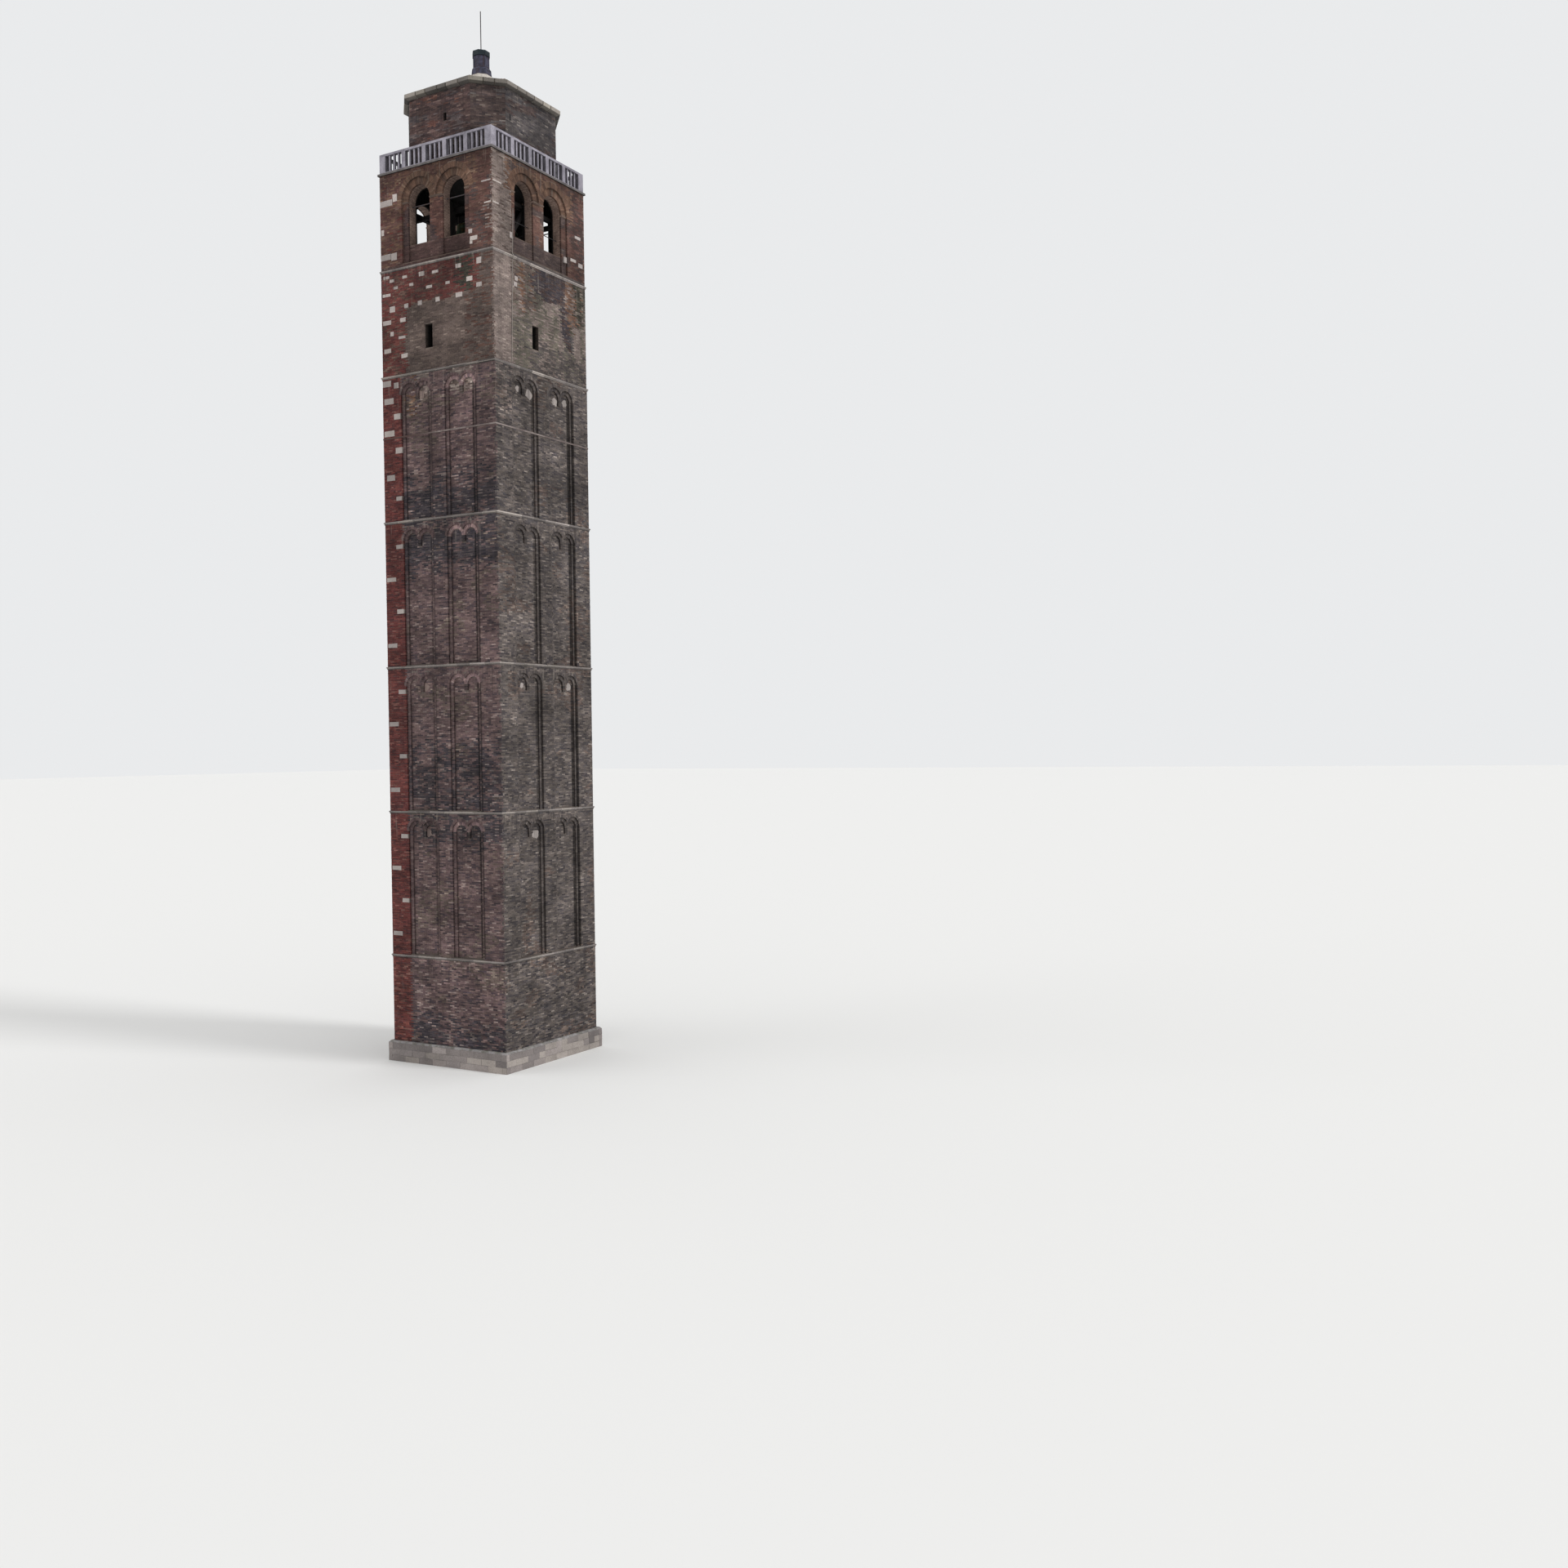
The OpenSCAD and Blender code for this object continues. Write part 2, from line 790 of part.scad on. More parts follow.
plinth();
lower_wall(0);  // lower_wall_front
lower_wall(1);  // lower_wall_right
lower_wall(2);  // lower_wall_back
lower_wall(3);  // lower_wall_left
tier_wall(0);  // tier_wall_front
tier_wall(1);  // tier_wall_right
tier_wall(2);  // tier_wall_back
tier_wall(3);  // tier_wall_left
middle_wall(0);  // middle_wall_front
middle_wall(1);  // middle_wall_right
middle_wall(2);  // middle_wall_back
middle_wall(3);  // middle_wall_left
belfry_wall(0);  // belfry_wall_front
belfry_wall(1);  // belfry_wall_right
belfry_wall(2);  // belfry_wall_back
belfry_wall(3);  // belfry_wall_left
string_courses(0);  // string_courses_front
string_courses(1);  // string_courses_right
string_courses(2);  // string_courses_back
string_courses(3);  // string_courses_left
door_surround();
iron_hoop();
belfry_floor();
tie_bars();
walkway_slab();
balustrade_sides();
balustrade_corners();
drum_sides();
drum_corners();
drum_cornice();
roof();
turret_foot();
turret();
turret_cap();
rod();
trestles();
frame_ties();
bearings();
headstock(-trestle_pitch / 2);  // left_headstock
bell(-trestle_pitch / 2, left_bell_r);  // left_bell
clapper(-trestle_pitch / 2, left_bell_r);  // left_clapper
headstock(trestle_pitch / 2);  // right_headstock
bell(trestle_pitch / 2, right_bell_r);  // right_bell
clapper(trestle_pitch / 2, right_bell_r);  // right_clapper
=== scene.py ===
"""Looks of the bell tower: brick skins, stonework, roof tiles, metal, camera and light.

All lengths are metres of the 1:2 model. A side's face has u along it, dist out from the
tower's axis and z up.
"""

import math

import bpy
import numpy as np
from mathutils import Matrix, Vector


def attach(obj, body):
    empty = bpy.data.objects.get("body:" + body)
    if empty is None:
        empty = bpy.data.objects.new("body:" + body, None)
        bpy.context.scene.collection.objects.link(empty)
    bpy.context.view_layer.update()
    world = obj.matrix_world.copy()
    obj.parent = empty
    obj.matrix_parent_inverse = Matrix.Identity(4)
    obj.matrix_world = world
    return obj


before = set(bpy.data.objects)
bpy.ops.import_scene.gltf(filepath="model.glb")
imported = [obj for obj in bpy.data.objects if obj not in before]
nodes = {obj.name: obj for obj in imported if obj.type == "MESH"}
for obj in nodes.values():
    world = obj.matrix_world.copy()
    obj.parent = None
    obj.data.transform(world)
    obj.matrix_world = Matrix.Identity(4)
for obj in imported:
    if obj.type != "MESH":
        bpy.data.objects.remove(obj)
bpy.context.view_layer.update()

SIDES = ("front", "right", "back", "left")
# The sides whose left or right edge was rebuilt in red brick
RED_SIDES = (0, 3)
QUARTER = math.pi / 2
EIGHTH = math.pi / 4

# Levels and half widths, as in the part's source
PLINTH_TOP = 0.5
PLINTH_HALF = 1.88
PLINTH_BLOCKS = 0.46
BASE_TOP = 2.65
TIER = 3.56
TIER_HALF = 1.78
MIDDLE = 16.89
MIDDLE_HALF = 1.772
BELFRY = 19.48
BELFRY_HALF = 1.768
WALKWAY = 21.8
DECK = 21.85
CORNICE = 23.55
ROOF = 23.675
ROOF_TOP = 24.175
STRING = 0.06
STRING_TOPS = (2.65, 6.21, 9.77, 13.33, 16.89, 19.48)

# Blind arches
PANEL_X = 0.7
BLIND_R = 0.175
BLIND_HALF_PITCH = 0.2225
BLIND_STEP = 0.09
BLIND_DEPTH = 0.04
BLIND_DROP = 0.43
BLIND_RING = 0.066
PANEL_FOOT = 0.02
PENDANT = 0.15

# Where a tier's corner strips end, and its middle strip
STRIP_IN = 1.19
MIDDLE_STRIP = 0.22

# Slit windows, each with a joint round it: left, right, foot and head
SLIT = (-0.366, -0.134, 17.425, 17.995)

# Belfry openings
OPENING_X = 0.55
OPENING_R = 0.35
ORDER = 0.175
ORDER_DEPTH = 0.05
INFILL_DEPTH = 0.09
FIELD_FOOT = 19.57
SILL = 20.0
SPRING = 21.05
IMPOST = 0.034
BELFRY_RING = 0.13
FIELD_HALF = OPENING_X + OPENING_R + ORDER
BAR_LEVEL = 20.42

# Doorway on the left side
DOOR_IN = 0.275
DOOR_HALF = 0.385
DOOR_SPRING = 1.15

# Drum
DRUM_HALF = 1.542
DRUM_LONG = 0.962
DRUM_CORNER = 1.7706
DRUM_SHORT = 0.4101
DRUM_FACES = ((DRUM_HALF, DRUM_LONG), (DRUM_CORNER, DRUM_SHORT))
DRUM_SLIT = (0.125, 0.215, 22.84, 23.03)
MITRE = math.tan(math.pi / 8)

# Roof and turret
ROOF_IN = 0.04
ROOF_RUN = 1.242
TURRET_SKIRT = 24.49
TURRET_BODY = 24.705

# Bells: each one's place along X and the radius of its mouth
AXLE = 21.085
BELLS = {"left": (-0.65, 0.35), "right": (0.65, 0.325)}
# From the axle down to a bell's crown, and a bell's height over the radius of its mouth
BELL_DROP = 0.106
BELL_TALL = 1.45
# Raised rings: how far up the bell, and how far out
BELL_RINGS = ((0.1, 0.003), (0.2, 0.004), (0.225, 0.003), (0.74, 0.003), (0.79, 0.004), (0.81, 0.003))

# Brickwork
COURSE = 0.036
LENGTH = 0.135
JOINT = 0.005
SHORTEST = 0.028
EDGE_LAP = 0.0015
INNER_GAP = 0.006
CORNER_LAP = 0.003


def linear(*rgb):
    """Linear light from screen values of 0 to 255."""
    c = np.array(rgb, float) / 255
    return np.where(c <= 0.04045, c / 12.92, ((c + 0.055) / 1.055) ** 2.4)


def rgba(*rgb):
    """A shader's colour from screen values."""
    return (*linear(*rgb), 1.0)


PALETTES = {
    "tier": [(99, 81, 81), (85, 69, 71), (113, 94, 91), (67, 57, 62), (132, 116, 112)],
    "tier_pale": [(92, 85, 82), (80, 74, 74), (106, 97, 92), (62, 58, 61), (126, 117, 111)],
    "red": [(100, 54, 51), (88, 48, 47), (112, 64, 58), (75, 45, 46), (124, 86, 78)],
    "brown": [(96, 83, 78), (86, 74, 70), (108, 94, 87), (76, 65, 63), (130, 116, 107)],
    "pale": [(128, 115, 109), (116, 103, 99), (140, 127, 120), (100, 89, 86), (156, 144, 136)],
    "warm": [(94, 69, 62), (82, 60, 55), (107, 81, 72), (70, 53, 50), (124, 101, 89)],
    "orange": [(112, 85, 71), (99, 75, 64), (124, 97, 81), (84, 67, 60), (138, 115, 98)],
    "dusk": [(66, 60, 65), (56, 51, 57), (78, 70, 72), (46, 44, 51), (112, 102, 100)],
    "drum": [(80, 67, 65), (69, 58, 58), (94, 80, 76), (57, 50, 52), (120, 108, 101)],
    "grey": [(84, 79, 79), (74, 70, 72), (96, 90, 88), (60, 58, 62), (126, 118, 113)],
    "moss": [(66, 63, 54), (56, 53, 47), (76, 71, 60), (48, 45, 43), (86, 80, 67)],
    "olive": [(104, 98, 88), (94, 89, 81), (115, 107, 97), (84, 80, 75), (128, 118, 107)],
    "rust": [(97, 69, 64), (88, 60, 57), (108, 80, 73), (78, 56, 54), (122, 102, 92)],
    "umber": [(77, 61, 58), (70, 55, 53), (87, 70, 66), (63, 51, 50), (104, 88, 82)],
}
PALETTE_NAMES = list(PALETTES)
PALETTE_RGB = np.array([[linear(*c) for c in PALETTES[k]] for k in PALETTE_NAMES])
PALETTE_WEIGHTS = (0.34, 0.26, 0.21, 0.14, 0.05)
# How far apart the sides lie in the patterns of blotches
SIDE_STEP = 3.5


def kind(name):
    return PALETTE_NAMES.index(name)


def patchy(u, z, wide, tall, seed):
    """Smooth random values from 0 to 1 over a side, in blobs of about this size."""
    grid = np.random.default_rng(seed).random((64, 64))
    x = np.asarray(u) / wide + 37.3
    y = np.asarray(z) / tall + 11.7
    i = np.floor(x).astype(int)
    j = np.floor(y).astype(int)
    f = x - i
    g = y - j
    f = f * f * (3 - 2 * f)
    g = g * g * (3 - 2 * g)
    a = grid[i % 64, j % 64] * (1 - f) + grid[(i + 1) % 64, j % 64] * f
    b = grid[i % 64, (j + 1) % 64] * (1 - f) + grid[(i + 1) % 64, (j + 1) % 64] * f
    return a * (1 - g) + b * g


def place(angle, u, dist, z):
    """Where a point of a side is in the row frame."""
    c = math.cos(angle)
    s = math.sin(angle)
    return np.stack([u * c + dist * s, u * s - dist * c, z + 0 * u], -1)


def add_object(name, data):
    obj = bpy.data.objects.new(name, data)
    bpy.context.scene.collection.objects.link(obj)
    return obj


# Darkest and lightest colour of a piece
TONE_RANGE = (0.004, 0.9)


class Builder:
    """Gathers faces with one colour a vertex and turns them into a piece."""

    def __init__(self):
        self.verts = []
        self.tones = []
        self.faces = []
        self.uvs = []
        self.count = 0

    def add(self, verts, faces, tone, uv=None):
        """verts (n, 3), faces (m, k) into them, tone (3,) or (n, 3), uv (m * k, 2)."""
        verts = np.asarray(verts, float).reshape(-1, 3)
        faces = np.asarray(faces)
        self.verts.append(verts)
        self.tones.append(np.broadcast_to(tone, verts.shape))
        self.faces.append(faces + self.count)
        self.count += len(verts)
        if uv is not None:
            self.uvs.append(uv)

    def build(self, name, material, slot, body="tower"):
        """Makes the piece, with flat faces, and lets it ride on its body."""
        verts = np.concatenate(self.verts)
        corners = np.concatenate([f.ravel() for f in self.faces]).astype(np.int32)
        sizes = np.concatenate([np.full(len(f), f.shape[1]) for f in self.faces])
        starts = np.concatenate([[0], np.cumsum(sizes)[:-1]]).astype(np.int32)
        mesh = bpy.data.meshes.new(name)
        mesh.vertices.add(len(verts))
        mesh.vertices.foreach_set("co", verts.astype(np.float32).ravel())
        mesh.loops.add(len(corners))
        mesh.loops.foreach_set("vertex_index", corners)
        mesh.polygons.add(len(starts))
        mesh.polygons.foreach_set("loop_start", starts)
        mesh.update(calc_edges=True)
        tone = mesh.color_attributes.new("Tone", "FLOAT_COLOR", "POINT")
        colours = np.ones((len(verts), 4), np.float32)
        colours[:, :3] = np.clip(np.concatenate(self.tones), *TONE_RANGE)
        tone.data.foreach_set("color", colours.ravel())
        if self.uvs:
            layer = mesh.uv_layers.new(name="OFBake")
            layer.data.foreach_set("uv", np.concatenate(self.uvs).astype(np.float32).ravel())
        mesh.polygons.foreach_set("use_smooth", np.full(len(starts), False))
        mesh.validate()
        obj = add_object(name, mesh)
        mesh.materials.append(material)
        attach(obj, body)


# Faces of a slab whose corners are four in front, then four behind
SLAB = np.array([[0, 1, 2, 3], [0, 4, 5, 1], [1, 5, 6, 2], [2, 6, 7, 3], [3, 7, 4, 0]])


class Skin(Builder):
    """Bricks or blocks set on one flat side, each a slab with a worn face."""

    def __init__(self, angle, seed):
        super().__init__()
        self.angle = angle
        self.rng = np.random.default_rng(seed)
        self.cells = []

    def lay(self, outlines, dist, tones, proud=(0.002, 0.0055), back=0.045, wear=0.0011):
        """outlines (n, 4, 2) run anticlockwise in u and z from the lower left corner."""
        if len(outlines):
            self.cells.append((np.asarray(outlines, float), dist, np.asarray(tones), proud, back, wear))

    def build(self, name, material, slot):
        """Makes the faces of all cells, with a flat map of the side, and the piece."""
        flat = np.concatenate([c[0].reshape(-1, 2) for c in self.cells])
        low = flat.min(0)
        span = flat.max(0) - low
        for quads, dist, tones, proud, back, wear in self.cells:
            n = len(quads)
            worn = quads + self.rng.normal(0, wear, quads.shape)
            lift = self.rng.uniform(*proud, (n, 1)) + self.rng.normal(0, wear * 0.6, (n, 4))
            face = place(self.angle, worn[..., 0], dist + lift, worn[..., 1])
            rear = place(self.angle, quads[..., 0], dist - back + 0 * lift, quads[..., 1])
            faces = (np.arange(n)[:, None, None] * 8 + SLAB).reshape(-1, 4)
            ahead = np.roll(quads, -1, 1)
            along = ahead - quads
            normal = np.stack([along[..., 1], -along[..., 0]], -1)
            normal /= np.maximum(np.linalg.norm(normal, axis=-1, keepdims=True), 1e-6)
            rim = normal * JOINT * 0.3
            edges = np.stack([quads, quads + rim, ahead + rim, ahead], 2)
            uv = np.concatenate([quads[:, None], edges], 1).reshape(-1, 2)
            verts = np.concatenate([face, rear], 1)
            self.add(verts, faces, np.repeat(tones, 8, 0), 0.02 + 0.96 * (uv - low) / span)
        super().build(name, material, slot)


def minus(spans, a, b):
    """Spans without what lies between a and b."""
    out = []
    for low, high in spans:
        if b <= low or a >= high:
            out.append((low, high))
            continue
        if a > low:
            out.append((low, a))
        if b < high:
            out.append((b, high))
    return out


def chord(r, over):
    """Half the width of a circle at a height over its centre."""
    return math.sqrt(max(r * r - over * over, 0))


def rows(z0, z1, course=COURSE):
    """(bottom, top) of each course between two levels."""
    n = max(1, round((z1 - z0) / course))
    pitch = (z1 - z0) / n
    return [(z0 + i * pitch + JOINT / 2, z0 + (i + 1) * pitch - JOINT / 2) for i in range(n)]


def matched(low, high):
    """Spans at a course's bottom and top as (left bottom, right bottom, left top, right top)."""
    if len(low) == len(high):
        pairs = [(a, b, c, d) for (a, b), (c, d) in zip(low, high)]
        if all(min(b, d) - max(a, c) > SHORTEST for a, b, c, d in pairs):
            return pairs
    both = []
    for a, b in low:
        for c, d in high:
            if min(b, d) - max(a, c) > SHORTEST:
                both.append((max(a, c), min(b, d), max(a, c), min(b, d)))
    return both


def bond(region, courses, rng, length=LENGTH, halves=0.12):
    """Outlines of the bricks that fill a region, which gives its spans at a height."""
    quads = []
    for i, (zb, zt) in enumerate(courses):
        shift = (i % 2) * length / 2 + rng.uniform(-0.006, 0.006)
        for lb, rb, lt, rt in matched(region(zb), region(zt)):
            last = min(rb, rt) - SHORTEST
            k = math.ceil((max(lb, lt) + SHORTEST - shift) / length)
            cuts = []
            while k * length + shift < last:
                cuts.append(k * length + shift + rng.uniform(-0.004, 0.004))
                if rng.random() < halves and (k + 0.5) * length + shift < last:
                    cuts.append((k + 0.5) * length + shift)
                k += 1
            ends = [(lb, lt)] + [(c, c) for c in cuts] + [(rb, rt)]
            for j, ((ab, at), (bb, bt)) in enumerate(zip(ends, ends[1:])):
                a = JOINT / 2 if j > 0 else 0
                b = JOINT / 2 if j < len(cuts) else 0
                quads.append([(ab + a, zb), (bb - b, zb), (bt - b, zt), (at + a, zt)])
    return np.array(quads).reshape(-1, 4, 2)


def ring(u0, z0, r0, r1, count, wall=None):
    """Outlines of a half-round arch's wedge bricks. wall = (u, side) trims them at an upright line."""
    quads = []
    step = math.pi / count
    for i in range(count):
        quad = []
        for t, way in ((i * step, 1), ((i + 1) * step, -1)):
            outer = r1
            if wall and math.cos(t) * wall[1] > 1e-6:
                outer = min(r1, abs(wall[0] - u0) / (math.cos(t) * wall[1]) - JOINT / 2)
            ta = t + way * JOINT / 2 / r0
            tb = t + way * JOINT / 2 / max(outer, r0)
            quad.append([(u0 + r0 * math.cos(ta), z0 + r0 * math.sin(ta)),
                         (u0 + outer * math.cos(tb), z0 + outer * math.sin(tb)), outer - r0])
        if min(quad[0][2], quad[1][2]) > 0.012:
            quads.append([quad[0][0], quad[0][1], quad[1][1], quad[1][0]])
    return np.array(quads).reshape(-1, 4, 2)


def paint(kinds, at, rng, spread, seed, pale=0.0, grain=(0.33, 0.06), depth=0.24, calm=1.0):
    """A colour for each brick from its palette, patchy over the side and drawn out along the grain.

    pale adds to the share of the palette's palest colour. calm under 1 brings its bricks nearer to each
    other."""
    n = len(kinds)
    weights = np.array(PALETTE_WEIGHTS)
    weights[4] += pale
    pick = rng.choice(5, n, p=weights / weights.sum())
    mean = (PALETTE_RGB * np.array(PALETTE_WEIGHTS)[:, None]).sum(1)[kinds]
    colour = mean + (PALETTE_RGB[kinds, pick] - mean) * calm
    broad = patchy(at[:, 0], at[:, 1], 0.9, 0.7, seed)
    drawn = patchy(at[:, 0], at[:, 1], *grain, seed + 1)
    light = (0.8 + 0.4 * broad) * (1 - depth + 2 * depth * drawn) * np.exp(rng.normal(0, spread, n))
    return colour * light[:, None]


def rise(value, low, high):
    """A smooth step from 0 to 1."""
    t = np.clip((value - low) / (high - low), 0, 1)
    return t * t * (3 - 2 * t)


def layered(first, chance, layers):
    """Palette of each brick: the first one, then each layer's in turn.

    A layer has where it lies, its share of the bricks there and its palette."""
    kinds = np.full(len(chance), kind(first))
    for where, share, name in layers:
        kinds[where & (chance < share)] = kind(name)
    return kinds


def tier_kinds(side, at, rng):
    """Palette of each brick in the panelled storeys and the lowest one."""
    u, z = at.T
    v = u if side == 0 else -u
    red_side = side in RED_SIDES
    around = u + SIDE_STEP * side
    brown = (patchy(around, z, 0.6, 0.5, 70) > 0.72) & (rng.random(len(u)) < 0.5)
    sooty = rise(z, 15.3, 13.7) * rise(z, 11.4, 12.6) + 0.8 * rise(z, 8.6, 7.4) * rise(z, 4.8, 5.8)
    dark = np.maximum(sooty, rise(z, 1.8, 0.5)) * (1.0 if red_side else 0.5)
    rough = 0.45 * patchy(around, z, 0.45, 0.22, 71) + 0.55 * rng.random(len(u))
    specks = (side == 1) & (np.abs(u + 1.38) < 0.24) & (np.abs(z - 16.1) < 0.3 + 0.5 * rough)
    stained = (side == 0) & (np.abs(u + 0.9) < 0.16 + 0.1 * rough) & (z > 15.75 + 0.3 * rough)
    limed = (np.abs(u - 0.72) < 0.36) & (z > 16.1 + 0.4 * rough)
    limed |= (np.abs(u + 0.48) < 0.2) & (z > 16.05 + 0.4 * rough)
    limed &= side == 0
    return layered("tier" if red_side else "tier_pale", rng.random(len(u)), [
        (brown, 1, "brown"), (rough < dark * 0.66, 1, "dusk" if red_side else "grey"), (specks, 0.3, "pale"),
        (stained, 0.3, "orange"), (limed, 1, "pale"), (limed, 0.3, "brown"),
        (red_side & (v < -STRIP_IN), 1, "red")])


def middle_kinds(side, at, rng):
    """Palette of each brick in the plain storey: partly rebuilt on the red sides, stained on the others."""
    u, z = at.T
    rough = (patchy(u, z, 0.25, 0.12, 5 + side) - 0.5) * 0.16
    chance = rng.random(len(u))
    if side in RED_SIDES:
        v = u if side == 0 else -u
        edge = 18.55 + 0.12 * np.clip((v - 0.7) / 0.7, 0, 1)
        red = (v < -1.0 + rough) | ((z > edge + rough) & (v < 1.3))
        mossy = (np.abs(v - 0.9) < 0.25 + rough) & (z > 18.62 + 2 * rough)
        return layered("brown", chance, [
            (v > 0.85 + 2 * rough, 0.3, "warm"), (red, 1, "red"), (red, 0.3, "warm"), (mossy, 0.6, "moss")])
    streak = patchy(u, z, 0.07, 1.1, 8) + 0.35 * (rng.random(len(u)) - 0.5)
    inner = u > -1.08 + 0.5 * rough
    near = rise(np.abs(u + 0.55), 0.38, 0.18) * rise(z, 18.0, 18.5)
    shade = rise(u, -0.45, -0.15) * rise(u, 1.1, 0.85) * rise(z - 3 * rough, 18.58, 18.85)
    shaded = rng.random(len(u)) < shade
    rusty = (np.abs(u - 1.3) < 0.34 + rough) & (z > 18.4 + 5 * rough)
    stain = np.abs(u - 0.96 - 0.35 * (18.2 - z)) < 0.17 + rough
    stain &= (z > 17.7 + 2 * rough) & (z < 18.55 + rough)
    green = inner & (u < -0.4 + rough) & (z < 18.05 + 4 * rough)
    return layered("pale", chance, [
        (inner & (streak < 0.5), 1, "olive"),
        (inner & (u < -0.35 + 2 * rough) & (z > 18.3 + 6 * rough), 0.4, "brown"),
        (streak > 0.3, 0.8 * near, "brown"), (streak > 0.6, 0.7 * near, "orange"),
        (streak < 0.18, near, "moss"),
        (shaded, 1, "drum"), (shaded, 0.85, "umber"), (shaded, 0.6, "dusk"),
        (rusty, 0.85, "brown"), (rusty & (streak > 0.55), 0.7, "orange"),
        (rusty & (streak < 0.45), 0.85, "moss"),
        (stain, 1, "umber"), (stain, 0.6, "dusk"),
        ((np.abs(u - 1.2) < 0.06 + 0.3 * rough) & (z < 18.1), 0.8, "grey"),
        (inner & (z < 17.65 + 4 * rough), 0.7, "tier_pale"), (green, 0.75, "olive"),
        (green, 0.15, "tier_pale")])


def belfry_kinds(side, at, rng):
    """Palette of each brick round the belfry's openings, with worn courses at one edge."""
    u, z = at.T
    chance = rng.random(len(u))
    parapet = (np.abs(u) < FIELD_HALF) & (z < SILL)
    crown = (np.abs(u) < 1.3) & (z > 20.9)
    layers = [(parapet, 1, "drum"), (patchy(u + SIDE_STEP * side, z, 0.22, 0.3, 19) > 0.7, 1, "drum")]
    if side in RED_SIDES:
        v = u if side == 0 else -u
        strip = v < -1.1
        worn = (v > 1.5) & (chance < 0.6)
        layers += [(parapet, 1, "umber"), (strip, 1, "rust"), (strip & (chance > 0.93), 1, "red"),
                   (strip, 0.2, "orange"), (v > 1.1, 0.55, "rust"), (crown, 0.45, "orange"),
                   (z < FIELD_FOOT, 1, "umber")]
    else:
        worn = (u < -1.5) & (chance < 0.5)
        layers += [(u < -1.1, 1, "brown"), (u < -1.1, 0.85, "pale"),
                   ((u > 1.1) & (patchy(u, z, 0.2, 0.5, 9) > 0.5), 1, "umber"), (u > 1.1, 0.3, "rust"),
                   (crown, 0.35, "orange"), ((z < FIELD_FOOT) & (u > -1.1), 1, "tier_pale")]
    if side < 2:
        every_other = np.floor(z / COURSE).astype(int) % 2 == 0
        layers.append((worn & (z > 19.95) & (z < 20.56) & every_other, 1, "pale"))
    return layered("warm", chance, layers)


# Pale stones set in the front's brick: u and z of the middle, width and number of courses
MIDDLE_STONES = [
    (-1.6, 19.33, 0.22, 2), (-1.42, 19.22, 0.17, 2), (-1.3, 19.03, 0.16, 2), (-1.0, 19.24, 0.17, 2),
    (-0.79, 19.03, 0.15, 2), (-0.45, 19.21, 0.2, 3), (-0.02, 19.21, 0.24, 2), (-0.22, 18.87, 0.22, 2),
    (0.37, 18.87, 0.15, 2), (0.71, 19.21, 0.2, 3), (1.05, 18.88, 0.22, 3), (1.35, 19.23, 0.18, 4),
    (1.34, 18.68, 0.2, 3), (0.72, 18.53, 0.24, 3), (0.05, 18.55, 0.15, 3), (-0.52, 18.54, 0.15, 3),
    (-0.96, 18.54, 0.15, 3), (-1.42, 18.53, 0.2, 4), (-1.6, 18.89, 0.3, 2), (-1.6, 18.22, 0.3, 3),
    (-1.08, 18.22, 0.2, 3), (-1.44, 17.92, 0.12, 3), (-1.12, 17.78, 0.26, 2), (-1.6, 17.51, 0.26, 3),
    (-1.05, 17.35, 0.24, 3),
]
TIER_STONES = [
    (-1.63, 16.73, 0.3, 4), (-1.33, 16.66, 0.18, 4), (-1.58, 16.3, 0.36, 4), (-1.32, 15.9, 0.24, 4),
    (-1.58, 15.49, 0.38, 4), (-1.28, 15.07, 0.24, 4), (-1.56, 14.4, 0.3, 4), (-1.3, 13.9, 0.22, 3),
]
BELFRY_STONES = [
    (-1.56, 21.11, 0.46, 4), (-1.28, 21.2, 0.16, 5), (-1.7, 20.44, 0.1, 4), (-1.61, 19.8, 0.38, 4),
    (-1.34, 19.79, 0.22, 5), (1.1, 19.97, 0.12, 3), (1.2, 19.78, 0.26, 3), (1.12, 19.7, 0.1, 2),
    (1.6, 21.07, 0.32, 1), (1.64, 20.54, 0.24, 1),
]


def stone_list(side):
    """The pale stones of a side. The left side mirrors the front's edge, shifted by a few courses."""
    if side == 0:
        return MIDDLE_STONES + TIER_STONES + BELFRY_STONES
    if side == 3:
        edge = [(-u, z - COURSE * (i % 3), w, n) for i, (u, z, w, n) in enumerate(MIDDLE_STONES) if u < -1.2]
        edge += [(-u, z + COURSE * (i % 2), w, n) for i, (u, z, w, n) in enumerate(TIER_STONES)]
        return edge + [(1.5, 21.0, 0.46, 3), (1.6, 19.9, 0.34, 3)]
    if side == 1:
        return [(-0.94, 18.98, 0.12, 3), (-0.98, 18.83, 0.14, 3), (-1.09, 19.97, 0.12, 4),
                (0.99, 19.97, 0.13, 4), (1.3, 20.02, 0.26, 2), (1.6, 19.96, 0.2, 3), (1.5, 20.66, 0.26, 2),
                (-1.58, 21.07, 0.36, 1), (-1.64, 20.54, 0.24, 1)]
    return [(-1.5, 20.2, 0.28, 3), (1.4, 19.1, 0.24, 3), (-1.55, 17.7, 0.26, 3), (1.5, 18.0, 0.24, 3)]


def snap_stones(side, courses):
    """This side's stones that lie in these courses, as (u0, u1, z0, z1)."""
    found = []
    pitch = courses[1][0] - courses[0][0]
    for u, z, width, n in stone_list(side):
        if courses[0][0] + 0.05 < z < courses[-1][1] - 0.05:
            first = round((z - courses[0][0]) / pitch - n / 2)
            first = min(max(first, 0), len(courses) - n)
            half = 0.43 * width
            found.append((u - half, u + half, courses[first][0], courses[first + n - 1][1]))
    return found


